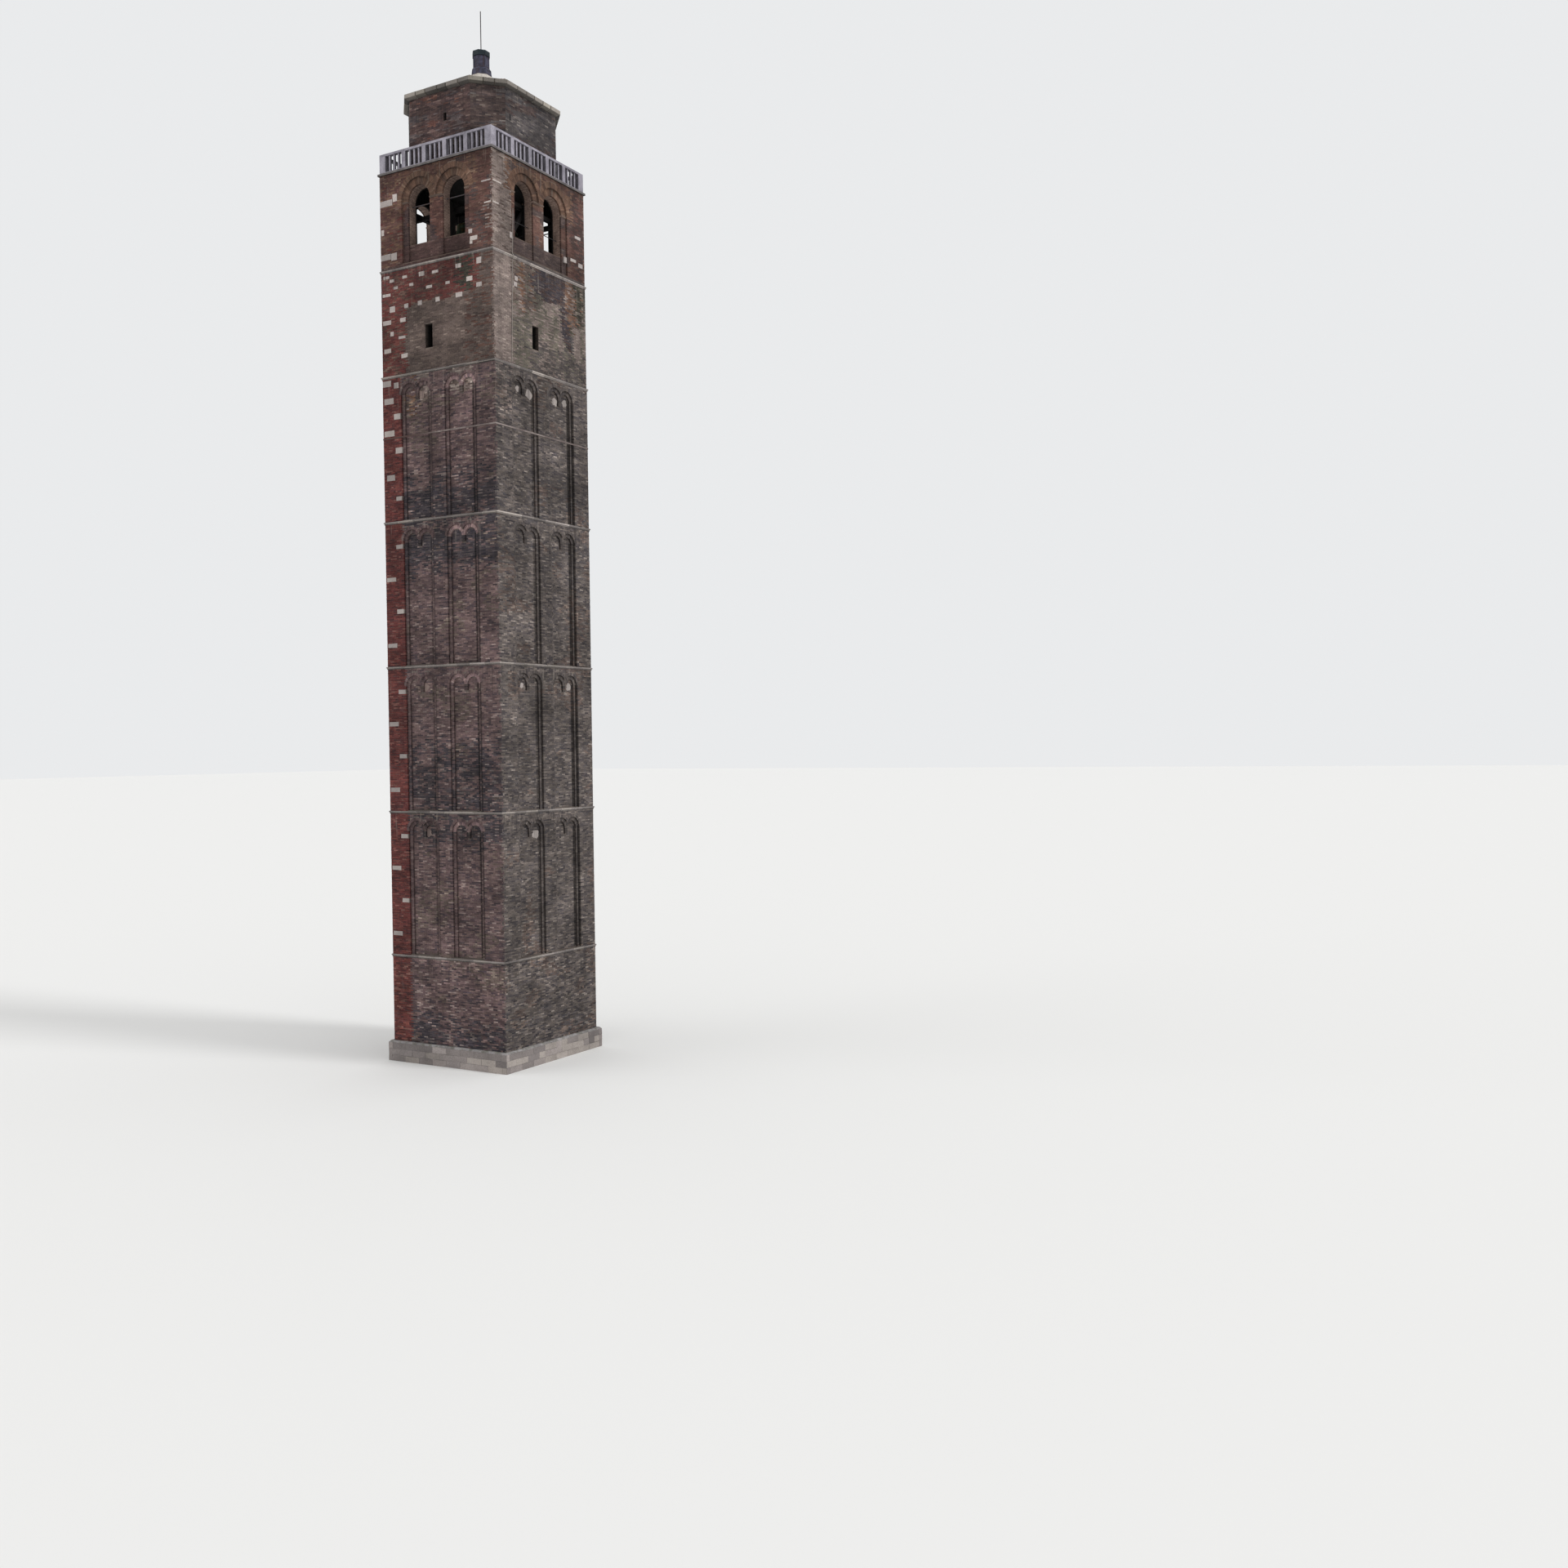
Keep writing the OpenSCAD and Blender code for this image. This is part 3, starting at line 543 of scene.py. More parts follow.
def around_stones(region, stones):
    """The region without the stones' places."""
    def spans(z):
        out = region(z)
        for u0, u1, z0, z1 in stones:
            if z0 - 0.001 < z < z1 + 0.001:
                out = minus(out, u0 - JOINT, u1 + JOINT)
        return out
    return spans


# Colours of the pale stones
STONE_RGB = np.array([linear(*c) for c in (
    (180, 170, 166), (162, 153, 150), (192, 182, 175), (146, 138, 136))])


def stone_tones(n, rng, dim=1.0, spread=0.08):
    """A colour for each of n stones, times dim."""
    return STONE_RGB[rng.integers(0, 4, n)] * dim * np.exp(rng.normal(0, spread, (n, 1)))


# Materials
def math_node(operation):
    """A method of Wire that adds this math node."""
    return lambda a, b=0.0: a.shader.math(operation, a, b)


class Wire:
    """A value in a shader. Sums, products and tests of wires add the math nodes that work them out."""

    __add__ = math_node("ADD")
    __sub__ = math_node("SUBTRACT")
    __mul__ = math_node("MULTIPLY")
    __truediv__ = math_node("DIVIDE")
    __mod__ = math_node("MODULO")
    __gt__ = math_node("GREATER_THAN")
    __lt__ = math_node("LESS_THAN")
    __abs__ = math_node("ABSOLUTE")
    sign = math_node("SIGN")

    def __init__(self, shader, socket):
        self.shader = shader
        self.socket = socket

    def __rsub__(self, other):
        return self.shader.math("SUBTRACT", other, self)

    def fit(self, low, high, to_low=0.0, to_high=1.0):
        """A smooth step between two values."""
        ends = {"Value": self, "From Min": low, "From Max": high, "To Min": to_low, "To Max": to_high}
        return self.shader.out("Result", "ShaderNodeMapRange", ends, interpolation_type="SMOOTHSTEP")


class Nodes:
    """A node tree, with short ways to add to it."""

    def __init__(self, tree):
        self.tree = tree

    def add(self, node_kind, inputs=(), **settings):
        """A new node, with its inputs linked to wires or set to values."""
        made = self.tree.nodes.new(node_kind)
        for key, value in settings.items():
            setattr(made, key, value)
        for key, value in dict(inputs).items():
            if isinstance(value, Wire):
                self.tree.links.new(value.socket, made.inputs[key])
            else:
                made.inputs[key].default_value = value
        return made

    def wires(self, node, *keys):
        """These outputs of a node."""
        return [Wire(self, node.outputs[key]) for key in keys]

    def out(self, key, *args, **settings):
        """One output of a new node."""
        return self.wires(self.add(*args, **settings), key)[0]

    def math(self, operation, a, b):
        return self.out(0, "ShaderNodeMath", {0: a, 1: b}, operation=operation)


class Shader(Nodes):
    """Builds one material out of nodes, with short names for the common ones."""

    def __init__(self, name, roughness=0.9, metallic=0.0, specular=0.3):
        self.material = bpy.data.materials.new(name)
        self.material.use_nodes = True
        super().__init__(self.material.node_tree)
        self.bsdf = self.tree.nodes["Principled BSDF"]
        self.bsdf.inputs["Roughness"].default_value = roughness
        self.bsdf.inputs["Metallic"].default_value = metallic
        self.bsdf.inputs["Specular IOR Level"].default_value = specular
        self.coords = self.out("Object", "ShaderNodeTexCoord")
        geometry = self.add("ShaderNodeNewGeometry")
        self.normal, self.true_normal = self.wires(geometry, "Normal", "True Normal")

    def split(self, vector):
        return self.wires(self.add("ShaderNodeSeparateXYZ", {0: vector}), 0, 1, 2)

    def noise(self, scale, detail, vector=None, rough=0.6):
        return self.out("Fac", "ShaderNodeTexNoise", {
            "Vector": vector or self.coords, "Scale": scale, "Detail": detail, "Roughness": rough})

    def streaks(self, stretch, detail=4.0, rough=0.6):
        """Noise with its own scale along each axis."""
        vector = self.out(0, "ShaderNodeVectorMath", {0: self.coords, 1: stretch}, operation="MULTIPLY")
        return self.noise(1.0, detail, vector, rough)

    def mix(self, share, a, b, blend="MIX"):
        return self.out(2, "ShaderNodeMix", {0: share, 6: a, 7: b}, data_type="RGBA", blend_type=blend)

    def ramp(self, value, stops):
        made = self.add("ShaderNodeValToRGB", {0: value})
        elements = made.color_ramp.elements
        while len(elements) < len(stops):
            elements.new(0.5)
        for element, (at, level) in zip(elements, stops):
            element.position = at
            element.color = (level, level, level, 1)
        return self.wires(made, "Color")[0]

    def scale_by(self, colour, value):
        """Colour times a grey value."""
        grey = self.out(0, "ShaderNodeCombineColor", {0: value, 1: value, 2: value})
        return self.mix(1.0, colour, grey, "MULTIPLY")

    def mottle(self, colour, scale, detail, low, high):
        """Colour times patches between two values."""
        return self.scale_by(colour, self.noise(scale, detail).fit(0.3, 0.7, low, high))

    def tone(self):
        return self.out("Color", "ShaderNodeVertexColor", layer_name="Tone")

    def outward(self):
        """Of each face: 1 if it looks outward, how it looks along its side, and its reach from the axis."""
        x, y = self.split(self.coords)[:2]
        nx, ny = self.split(self.true_normal)[:2]
        reach = self.math("MAXIMUM", abs(x), abs(y))
        facing = nx * x + ny * y
        return facing > reach * 0.93, nx * y - ny * x, reach

    def by_facing(self, on_x, on_y):
        """One value on the faces that look along X, the other on the rest."""
        nx, ny = self.split(self.true_normal)[:2]
        faces_x = abs(nx) > abs(ny)
        return faces_x * on_x + (1.0 - faces_x) * on_y

    def bump(self, height, distance, strength, normal=None):
        inputs = {"Height": height, "Distance": distance, "Strength": strength}
        if normal:
            inputs["Normal"] = normal
        return self.out("Normal", "ShaderNodeBump", inputs)

    def end(self, colour, normal, roughness=None):
        for name, wire in (("Base Color", colour), ("Normal", normal), ("Roughness", roughness)):
            if wire:
                self.tree.links.new(wire.socket, self.bsdf.inputs[name])
        return self.material


# The top of the streaks' height scale, and where streaks start: the foot of each ledge and their reach
HEIGHT = 26.0
LEDGES = [(top - STRING, 1.0) for top in STRING_TOPS[:-1]]
LEDGES += [(BELFRY - STRING, 1.3), (WALKWAY, 0.8), (CORNICE, 0.8)]
# Where a tier's arches spring, over its foot
PANEL_HEAD = TIER - STRING - BLIND_DROP


def weather(s, colour, streak=0.5, mottle=0.3, lichen=0.5):
    """Mottling, rain streaks under the ledges and grime on what faces up."""
    stops = [(0.0, 0.0)]
    for top, reach in LEDGES:
        stops += [((top - reach) / HEIGHT, 0.0), (top / HEIGHT - 0.0005, 1.0), (top / HEIGHT + 0.0005, 0.0)]
    near_ledge = s.ramp(s.split(s.coords)[2] / HEIGHT, stops)
    colour = s.mottle(colour, 1.4, 5.0, 1 - mottle, 1 + mottle)
    colour = s.mottle(colour, 38.0, 3.0, 0.86, 1.14)
    dark = s.streaks((9.0, 9.0, 0.5)).fit(0.5, 0.68) * near_ledge
    colour = s.mix(dark * streak, colour, rgba(48, 44, 46))
    lime = s.streaks((13.0, 13.0, 0.9)).fit(0.58, 0.72) * near_ledge
    colour = s.mix(lime * (streak * 0.6), colour, rgba(176, 166, 154))
    moss = s.split(s.normal)[2].fit(0.3, 0.9) * s.noise(9.0, 4.0).fit(0.4, 0.65)
    return s.mix(moss * lichen, colour, rgba(84, 84, 66))


def panel_edge_shade(s, over_string):
    """How much light the painted shade and dirt along the right ends of the panels and their steps leave."""
    x, y, z = s.split(s.coords)
    nx, ny = s.split(s.true_normal)[:2]
    along = s.by_facing(nx.sign() * y, ny.sign() * (x * -1.0))
    in_panel = along - along.sign() * PANEL_X
    recess_shade = 0.0
    for edge in (0.355, 0.47):
        recess_shade = s.math("MAXIMUM", recess_shade, abs(in_panel - edge).fit(0.0, 0.07, 1.0, 0.0))
    panels = (over_string < PANEL_HEAD + 0.03) * (abs(z - 9.8) < 7.1)
    return 1.0 - recess_shade * panels * along.fit(-0.2, 0.2, 0.5, 0.82)


def brick_material(name):
    """Laid bricks, with painted shade on the sides that stand in the steps, and painted shade and dirt along
    the right edge of each step.
    """
    s = Shader(name, 0.92, specular=0.2)
    colour = s.mottle(s.tone(), 150.0, 3.0, 0.85, 1.15)
    outer, along, reach = s.outward()
    x, y, z = s.split(s.coords)
    over_string = (z - BASE_TOP) % TIER
    colour = s.scale_by(colour, panel_edge_shade(s, over_string))
    # Painted shade on the sides of the bricks that don't look outward: most on those that look left, less on
    # those that look right and in the belfry, none where limed
    looks_right = along.fit(-1.1, -1.0, 0.5, 0.0)
    high_up = z.fit(BELFRY - 0.01, BELFRY, 0.0, 0.25)
    low = (reach < TIER_HALF - BLIND_DEPTH) * 0.3
    limed = (over_string > PANEL_HEAD - low) * (y < -1.6)
    hidden = s.math("MAXIMUM", 0.75 - (looks_right + high_up), 0.1) * (1.0 - limed)
    hidden = (1.0 - outer) * (hidden * x.fit(1.6, 1.65, 1.0, 0.6))
    colour = s.scale_by(colour, 1.0 - hidden)
    return s.end(weather(s, colour), s.bump(s.noise(160.0, 4.0), 0.004, 0.5))


def wall_material(name, pale, dark, mortar, recess_shade):
    """Mortar behind the laid bricks, and drawn courses on reveals.

    recess_shade has the reach where the painted shade leaves the reveals darkest, the reach where it leaves
    them lightest, and both levels."""
    s = Shader(name, 0.95)
    x, y, z = s.split(s.coords)
    outer, _, reach = s.outward()
    pattern = s.add("ShaderNodeTexBrick", {
        "Vector": s.out(0, "ShaderNodeCombineXYZ", {0: s.by_facing(y, x), 1: z, 2: 0.0}),
        "Color1": rgba(*pale), "Color2": rgba(*dark), "Mortar": rgba(*mortar), "Scale": 1.0,
        "Mortar Size": 0.0028, "Mortar Smooth": 0.2, "Brick Width": LENGTH, "Row Height": COURSE})
    colour, joint = s.wires(pattern, "Color", "Fac")
    grain = s.mottle(colour, 25.0, 3.0, 0.8, 1.2)
    joints = s.scale_by(rgba(*mortar), panel_edge_shade(s, (z - BASE_TOP) % TIER))
    # Painted shade on the reveals, deepest inside the walls; the mortar joints carry the panels' painted edge
    # shade
    colour = s.mix(outer, s.scale_by(grain, reach.fit(*recess_shade)), joints)
    normal = s.bump((1.0 - joint) * (1.0 - outer), 0.004, 0.8)
    return s.end(weather(s, colour), s.bump(s.noise(120.0, 4.0), 0.003, 0.5, normal))


def stone_material(name, streak=0.6, lichen=0.7, fixed=None, sides=1.0, shade_below=1.0):
    """Weathered limestone, with painted shade on its sides and below.

    fixed has two colours for a CAD node; without it the piece has its own tones."""
    s = Shader(name, 0.85)
    if fixed:
        colour = s.mix(s.noise(5.0, 4.0).fit(0.35, 0.65), rgba(*fixed[0]), rgba(*fixed[1]))
    else:
        colour = s.tone()
    colour = s.mix(s.noise(70.0, 4.0).fit(0.62, 0.72) * 0.5, colour, rgba(86, 80, 74))
    # Painted shade on the faces that don't look outward
    if sides < 1:
        colour = s.scale_by(colour, s.outward()[0].fit(0.0, 1.0, sides, 1.0))
    # Painted shade on the faces that look down
    if shade_below < 1:
        colour = s.scale_by(colour, s.split(s.normal)[2].fit(-0.9, -0.6, shade_below, 1.0))
    return s.end(weather(s, colour, streak, 0.18, lichen), s.bump(s.noise(60.0, 5.0), 0.005, 0.45))


def metal_material(name, base, worn, roughness, metallic, spots=14.0, runs=(20.0, 20.0, 1.2),
                   run_colour=None):
    """Sheet metal, iron or bronze, with worn spots and drips."""
    s = Shader(name, roughness, metallic)
    colour = s.mix(s.noise(spots, 5.0).fit(0.4, 0.65), rgba(*base), rgba(*worn))
    colour = s.mix(s.streaks(runs, 3.0).fit(0.5, 0.66) * 0.7, colour, rgba(*(run_colour or worn)))
    rough = s.noise(40.0, 3.0).fit(0.3, 0.7, max(roughness - 0.12, 0.2), min(roughness + 0.12, 1.0))
    return s.end(colour, s.bump(s.noise(90.0, 4.0), 0.002, 0.35), rough)


def timber_material(name):
    s = Shader(name, 0.85)
    grain, cross, upright = (s.streaks(stretch, 6.0, 0.7) for stretch in (
        (60.0, 7.0, 60.0), (7.0, 60.0, 60.0), (60.0, 60.0, 6.0)))
    mixed = (grain + cross + upright) * 0.333
    # Near-black: the timber's own dark tone with painted shade of the belfry's dark inside
    colour = s.mix(mixed.fit(0.42, 0.6), rgba(14, 12, 12), rgba(31, 27, 26))
    return s.end(s.mottle(colour, 3.0, 3.0, 0.75, 1.2), s.bump(mixed, 0.004, 0.6))


def tile_material(name):
    s = Shader(name, 0.88)
    colour = s.mottle(s.tone(), 30.0, 4.0, 0.75, 1.2)
    colour = s.mix(s.noise(16.0, 5.0).fit(0.58, 0.68) * 0.5, colour, rgba(150, 146, 120))
    return s.end(colour, s.bump(s.noise(80.0, 4.0), 0.003, 0.4))


def toned_metal(name):
    s = Shader(name, 0.65, 0.2)
    return s.end(s.mottle(s.tone(), 30.0, 4.0, 0.8, 1.2), s.bump(s.noise(90.0, 4.0), 0.002, 0.35))


def hoop_material(name):
    """A painted hoop, rusty toward the tower's left side."""
    s = Shader(name, 0.85)
    colour = s.mix(s.noise(2.3, 5.0).fit(0.42, 0.58), rgba(104, 93, 90), rgba(138, 127, 123))
    colour = s.mix(s.split(s.coords)[0].fit(0.1, -1.0), colour, rgba(80, 62, 58))
    colour = s.mix(s.noise(14.0, 5.0).fit(0.55, 0.68) * 0.5, colour, rgba(98, 80, 72))
    return s.end(colour, s.bump(s.noise(90.0, 4.0), 0.002, 0.35))


bricks_mat = brick_material("laid_brick")
stones_mat = stone_material("set_stone")
trim_mat = stone_material("trim_stone", 0.8, 0.5)
metal_mat = toned_metal("toned_metal")
tile_mat = tile_material("clay_tile")
bronze_mat = metal_material("bell_bronze", (74, 92, 78), (94, 82, 56), 0.45, 0.7, 10.0, (16.0, 16.0, 2.0),
                            (104, 128, 108))

# Looks of the CAD nodes, by how their names start
CAD_LOOKS = {
    ("lower_wall", "tier_wall"): wall_material(
        "lower_masonry", (92, 78, 74), (70, 60, 59), (104, 95, 90), (1.28, 1.6, 0.1, 0.9)),
    ("middle_wall",): wall_material(
        "middle_masonry", (100, 86, 80), (78, 67, 62), (112, 101, 94), (1.62, 1.77, 0.03, 0.55)),
    ("belfry_wall",): wall_material(
        "belfry_masonry", (150, 128, 117), (128, 108, 99), (98, 84, 75), (1.45, 1.475, 0.01, 1.0)),
    ("drum_sides", "drum_corners"): wall_material(
        "drum_masonry", (86, 71, 67), (66, 56, 54), (92, 82, 77), (1.4, 1.53, 0.03, 0.6)),
    ("string_courses", "door_surround"): stone_material(
        "pale_stone_face", fixed=((176, 166, 158), (150, 142, 136))),
    ("turret_foot",): stone_material("lime_face", 0.2, 0.2, ((222, 216, 208), (196, 190, 182))),
    ("plinth",): stone_material("grey_stone_face", fixed=((150, 146, 146), (126, 122, 122))),
    # The slab's underside and the rails' sides get painted shade
    ("walkway_slab",): stone_material("slab_face", fixed=((112, 107, 106), (90, 86, 86)), shade_below=0.12),
    ("balustrade",): stone_material("rail_face", 0.6, 0.4, ((157, 153, 163), (133, 129, 139)), 0.55),
    ("drum_cornice",): stone_material("cornice_bed", fixed=((82, 76, 68), (62, 58, 52))),
    ("roof",): stone_material("tile_bed", fixed=((108, 82, 68), (84, 66, 58))),
    ("belfry_floor", "trestles", "frame_ties", "left_headstock", "right_headstock"): timber_material(
        "timber_with_painted_shade"),
    ("left_bell", "right_bell"): bronze_mat,
    ("left_clapper", "right_clapper", "bearings"): metal_material(
        "rusty_iron", (84, 80, 80), (104, 74, 58), 0.7, 0.3),
    ("tie_bars",): metal_material("tie_iron", (70, 70, 76), (78, 64, 60), 0.7, 0.3),
    ("iron_hoop",): hoop_material("hoop_iron"),
    ("rod",): metal_material("rod_iron", (44, 42, 46), (60, 46, 42), 0.6, 0.3),
    ("turret_cap",): metal_material("green_sheet", (30, 44, 50), (20, 30, 36), 0.5, 0.2, 12.0),
    ("turret",): metal_material(
        "painted_sheet", (72, 72, 92), (46, 46, 60), 0.55, 0.2, 9.0, (26.0, 26.0, 1.0), (62, 46, 52)),
}
for node_name, node in nodes.items():
    look = next(material for starts, material in CAD_LOOKS.items() if node_name.startswith(starts))
    if not node.data.materials:
        node.data.materials.append(look)
    for material_slot in node.material_slots:
        material_slot.material = look


# Brick skins, one a side and storey
def lay_stones(skin, dist, stones, dim):
    """Set stones that stand a little proud of the bricks, all nearly the same colour."""
    quads = np.array([[(a, c), (b, c), (b, d), (a, d)] for a, b, c, d in stones]).reshape(-1, 4, 2)
    tones = 0.4 * stone_tones(len(quads), skin.rng, dim) + 0.6 * STONE_RGB.mean(0) * dim
    skin.lay(quads, dist, tones, (0.006, 0.011), 0.03, 0.003)


def outer_plane(half, foot, spring, fields, middles, reach):
    """Spans of a side's outer plane: all of it but the sunk fields and the arches over them."""
    def spans(z):
        out = [(-half - CORNER_LAP, half + CORNER_LAP)]
        cuts = fields if foot < z < spring else ()
        if z >= spring:
            w = chord(reach, z - spring)
            cuts = [(c - w, c + w) for c in middles if w > 0]
        for a, b in cuts:
            out = minus(out, a, b)
        return out
    return spans


def banded(*bands):
    """A region of bands, each with its foot, its head and its spans."""
    return lambda z: sorted(span for foot, head, spans in bands if foot < z < head for span in spans)


def panel_regions(z0, spring):
    """Spans of the strip, step and field planes of one tier."""
    field = BLIND_HALF_PITCH + BLIND_R
    step = field + BLIND_STEP
    pier = BLIND_HALF_PITCH - BLIND_R
    foot = z0 + PANEL_FOOT
    panels = (-PANEL_X, PANEL_X)
    arches = [c + a for c in panels for a in (-BLIND_HALF_PITCH, BLIND_HALF_PITCH)]
    jambs = [(c - step + INNER_GAP, c - field + EDGE_LAP) for c in panels]
    jambs += [(c + field - EDGE_LAP, c + step - INNER_GAP) for c in panels]
    pendants = [(c - pier - EDGE_LAP, c + pier + EDGE_LAP) for c in panels]

    def sunk(z):
        if foot + 0.004 < z < spring - PENDANT:
            return [(c - field + INNER_GAP, c + field - INNER_GAP) for c in panels]
        w = chord(BLIND_R, max(z - spring, 0)) - INNER_GAP
        if spring - PENDANT <= z < spring + BLIND_R - 0.01 and w > 0.02:
            return [(c - w, c + w) for c in arches]
        return []

    strip = outer_plane(TIER_HALF, foot, spring, [(c - step + EDGE_LAP, c + step - EDGE_LAP) for c in panels],
                        arches, BLIND_R + BLIND_STEP + BLIND_RING + 0.004)
    return strip, banded((foot + 0.004, spring, jambs), (spring - PENDANT, spring, pendants)), sunk


def lower_stones(side, courses):
    """Made-up stones at the edge of a hidden tier, as snap_stones gives them."""
    stones = []
    for i in range(4):
        u = (1 if side == 0 else -1) * (-1.6 + 0.28 * (i % 2))
        w = 0.3 - 0.08 * (i % 2)
        first = int((0.5 + 0.8 * i) / COURSE)
        stones.append((u - w / 2, u + w / 2, courses[first][0], courses[first + 2][1]))
    return stones


def tier_skin(side, storey, z0):
    z1 = z0 + TIER - STRING
    spring = z1 - BLIND_DROP
    skin = Skin(side * QUARTER, 100 + 10 * storey + side)
    rng = skin.rng
    red = side in RED_SIDES
    courses = rows(z0, z1)
    stones = lower_stones(side, courses) if storey != 3 and red else snap_stones(side, courses)
    strip, stepped, sunk = panel_regions(z0, spring)
    for region, depth in ((around_stones(strip, stones), 0), (stepped, BLIND_DEPTH), (sunk, 2 * BLIND_DEPTH)):
        quads = bond(region, courses, rng)
        at = quads.mean(1)
        u = at[:, 0]
        z = at[:, 1]
        calm = (0.9 if red else 0.85) * (0.6 if region is stepped else 1.0)
        kinds = tier_kinds(side, at, rng)
        shift = (2 * TIER_HALF * side, 0)
        tones = paint(kinds, at + shift, rng, 0.17 * calm, 40, 0.03, depth=0.15, calm=calm)
        if side == 1 and depth == 0:
            tones[np.abs(u) < MIDDLE_STRIP] *= 0.8
        if side == 0:
            tones[u < -STRIP_IN] *= (0.88, 0.83, 0.86)
        # Painted shade: the heads of the sunk arches grow darker upward on the sides that aren't red, and the
        # pendants between the arches are darker
        if region is sunk and not red:
            tones *= 1 - 0.35 * rise(z[:, None], spring - 0.05, spring + 0.1)
        if region is stepped:
            tones[(z > spring - PENDANT) & (np.abs(np.abs(u) - PANEL_X) < 0.06)] *= 0.5
        skin.lay(quads, TIER_HALF - depth, tones)
    edge = BLIND_R + BLIND_STEP
    gap = 0.001 if side == 0 else INNER_GAP
    for c in (-PANEL_X, PANEL_X):
        bright = red and (c > 0) == (side == 0)
        for a in (-1, 1):
            u0 = c + a * BLIND_HALF_PITCH
            outer = ring(u0, spring, edge - EDGE_LAP, edge + BLIND_RING, 23, (c, -a))
            inner = ring(u0, spring, BLIND_R - EDGE_LAP, edge - gap, 15, (c, -a))
            for quads, depth in ((outer, 0), (inner, BLIND_DEPTH)):
                at = quads.mean(1)
                kinds = np.full(len(quads), kind("tier" if red else "tier_pale"))
                tones = paint(kinds, at, rng, 0.08, 3, depth=0.08, calm=0.6)
                tones *= (1.05 if bright else 0.95) if depth == 0 else (2.0 if bright else 0.8)
                tones[(np.abs(at[:, 0] - u0) < 0.1) & (depth > 0)] *= 1.25 if bright else 1.1
                skin.lay(quads, TIER_HALF - depth, tones)
    skin.build(f"{SIDES[side]}_bricks_{storey + 2}", bricks_mat, "dark_brick")
    return stones


def plain_skin(side, name, z0, z1, half, hole, kinds, slot, seed, spread, **look):
    """A storey without panels. hole gives the ends of its opening at a height, or nothing."""
    skin = Skin(side * QUARTER, seed + side)
    courses = rows(z0, z1)
    stones = snap_stones(side, courses)

    def region(z):
        spans = [(-half - CORNER_LAP, half + CORNER_LAP)]
        gap = hole(z) if hole else None
        return minus(spans, *gap) if gap else spans

    quads = bond(around_stones(region, stones), courses, skin.rng)
    at = quads.mean(1)
    kinds = kinds(side, at, skin.rng)
    tones = paint(kinds, at + (2 * half * side, 0), skin.rng, spread, seed + 50, depth=0.17, **look)
    skin.lay(quads, half, tones * (1.0 if side in RED_SIDES else 0.95))
    skin.build(f"{SIDES[side]}_bricks_{name}", bricks_mat, slot)
    return stones


def door_gap(z):
    r = DOOR_HALF + JOINT
    w = r if z < DOOR_SPRING else chord(r, z - DOOR_SPRING)
    return (-w, w) if w > 0 else None


def slit_gap(z):
    return SLIT[:2] if SLIT[2] < z < SLIT[3] else None


def belfry_skin(side):
    skin = Skin(side * QUARTER, 300 + side)
    rng = skin.rng
    red = side in RED_SIDES
    courses = rows(BELFRY, WALKWAY)
    stones = snap_stones(side, courses)
    outer_r = OPENING_R + ORDER
    openings = (-OPENING_X, OPENING_X)

    jamb = FIELD_HALF - ORDER
    pier = OPENING_X - OPENING_R
    strip = outer_plane(BELFRY_HALF, FIELD_FOOT, SPRING, [(-FIELD_HALF + EDGE_LAP, FIELD_HALF - EDGE_LAP)],
                        openings, outer_r + BELFRY_RING + 0.002)
    order = banded((FIELD_FOOT + 0.003, SPRING - IMPOST, [
        (-FIELD_HALF + INNER_GAP, -jamb + EDGE_LAP), (-pier - EDGE_LAP, pier + EDGE_LAP),
        (jamb - EDGE_LAP, FIELD_HALF - INNER_GAP)]))
    infill = banded((FIELD_FOOT + 0.003, SILL - 0.002, [
        (c - OPENING_R + INNER_GAP, c + OPENING_R - INNER_GAP) for c in openings]))
    for region, depth in ((around_stones(strip, stones), 0), (order, ORDER_DEPTH), (infill, INFILL_DEPTH)):
        quads = bond(region, courses, rng)
        at = quads.mean(1)
        kinds = belfry_kinds(side, at, rng)
        tones = paint(kinds, at + (3.54 * side, 0), rng, 0.08, 60, depth=0.16, calm=0.65 if red else 0.5)
        if side == 0:
            tones[at[:, 0] < -1.1] *= 1.08
            tones[np.abs(at[:, 0]) < FIELD_HALF] *= (0.92, 0.84, 0.87)
        tones *= 1.0 if red else 1.1
        tones *= 1 - (0.38 if red else 0.2) * rise(at[:, 1:], 21.2, 21.55)
        skin.lay(quads, BELFRY_HALF - depth, tones)
    for a in (-1, 1):
        outer = ring(a * OPENING_X, SPRING, outer_r - EDGE_LAP, outer_r + BELFRY_RING, 46, (0, -a))
        inner = ring(a * OPENING_X, SPRING, OPENING_R - EDGE_LAP, outer_r - INNER_GAP, 31, (0, -a))
        for quads, depth, light in ((outer, 0, 0.9), (inner, ORDER_DEPTH, 0.85)):
            at = quads.mean(1)
            tones = paint(np.full(len(quads), kind("orange")), at, rng, 0.08, 4, calm=0.6)
            tones *= 1 - 0.3 * rise(at[:, 1:], 21.35, 21.6)
            skin.lay(quads, BELFRY_HALF - depth, tones * light)
    skin.build(f"{SIDES[side]}_bricks_belfry", bricks_mat, "warm_brick")
    return stones


# How much of each of the drum's eight sides is in warmer brick
DRUM_WARMTH = (0.62, 0.66, 0.42, 0.5, 0.62, 0.7, 0.7, 0.7)


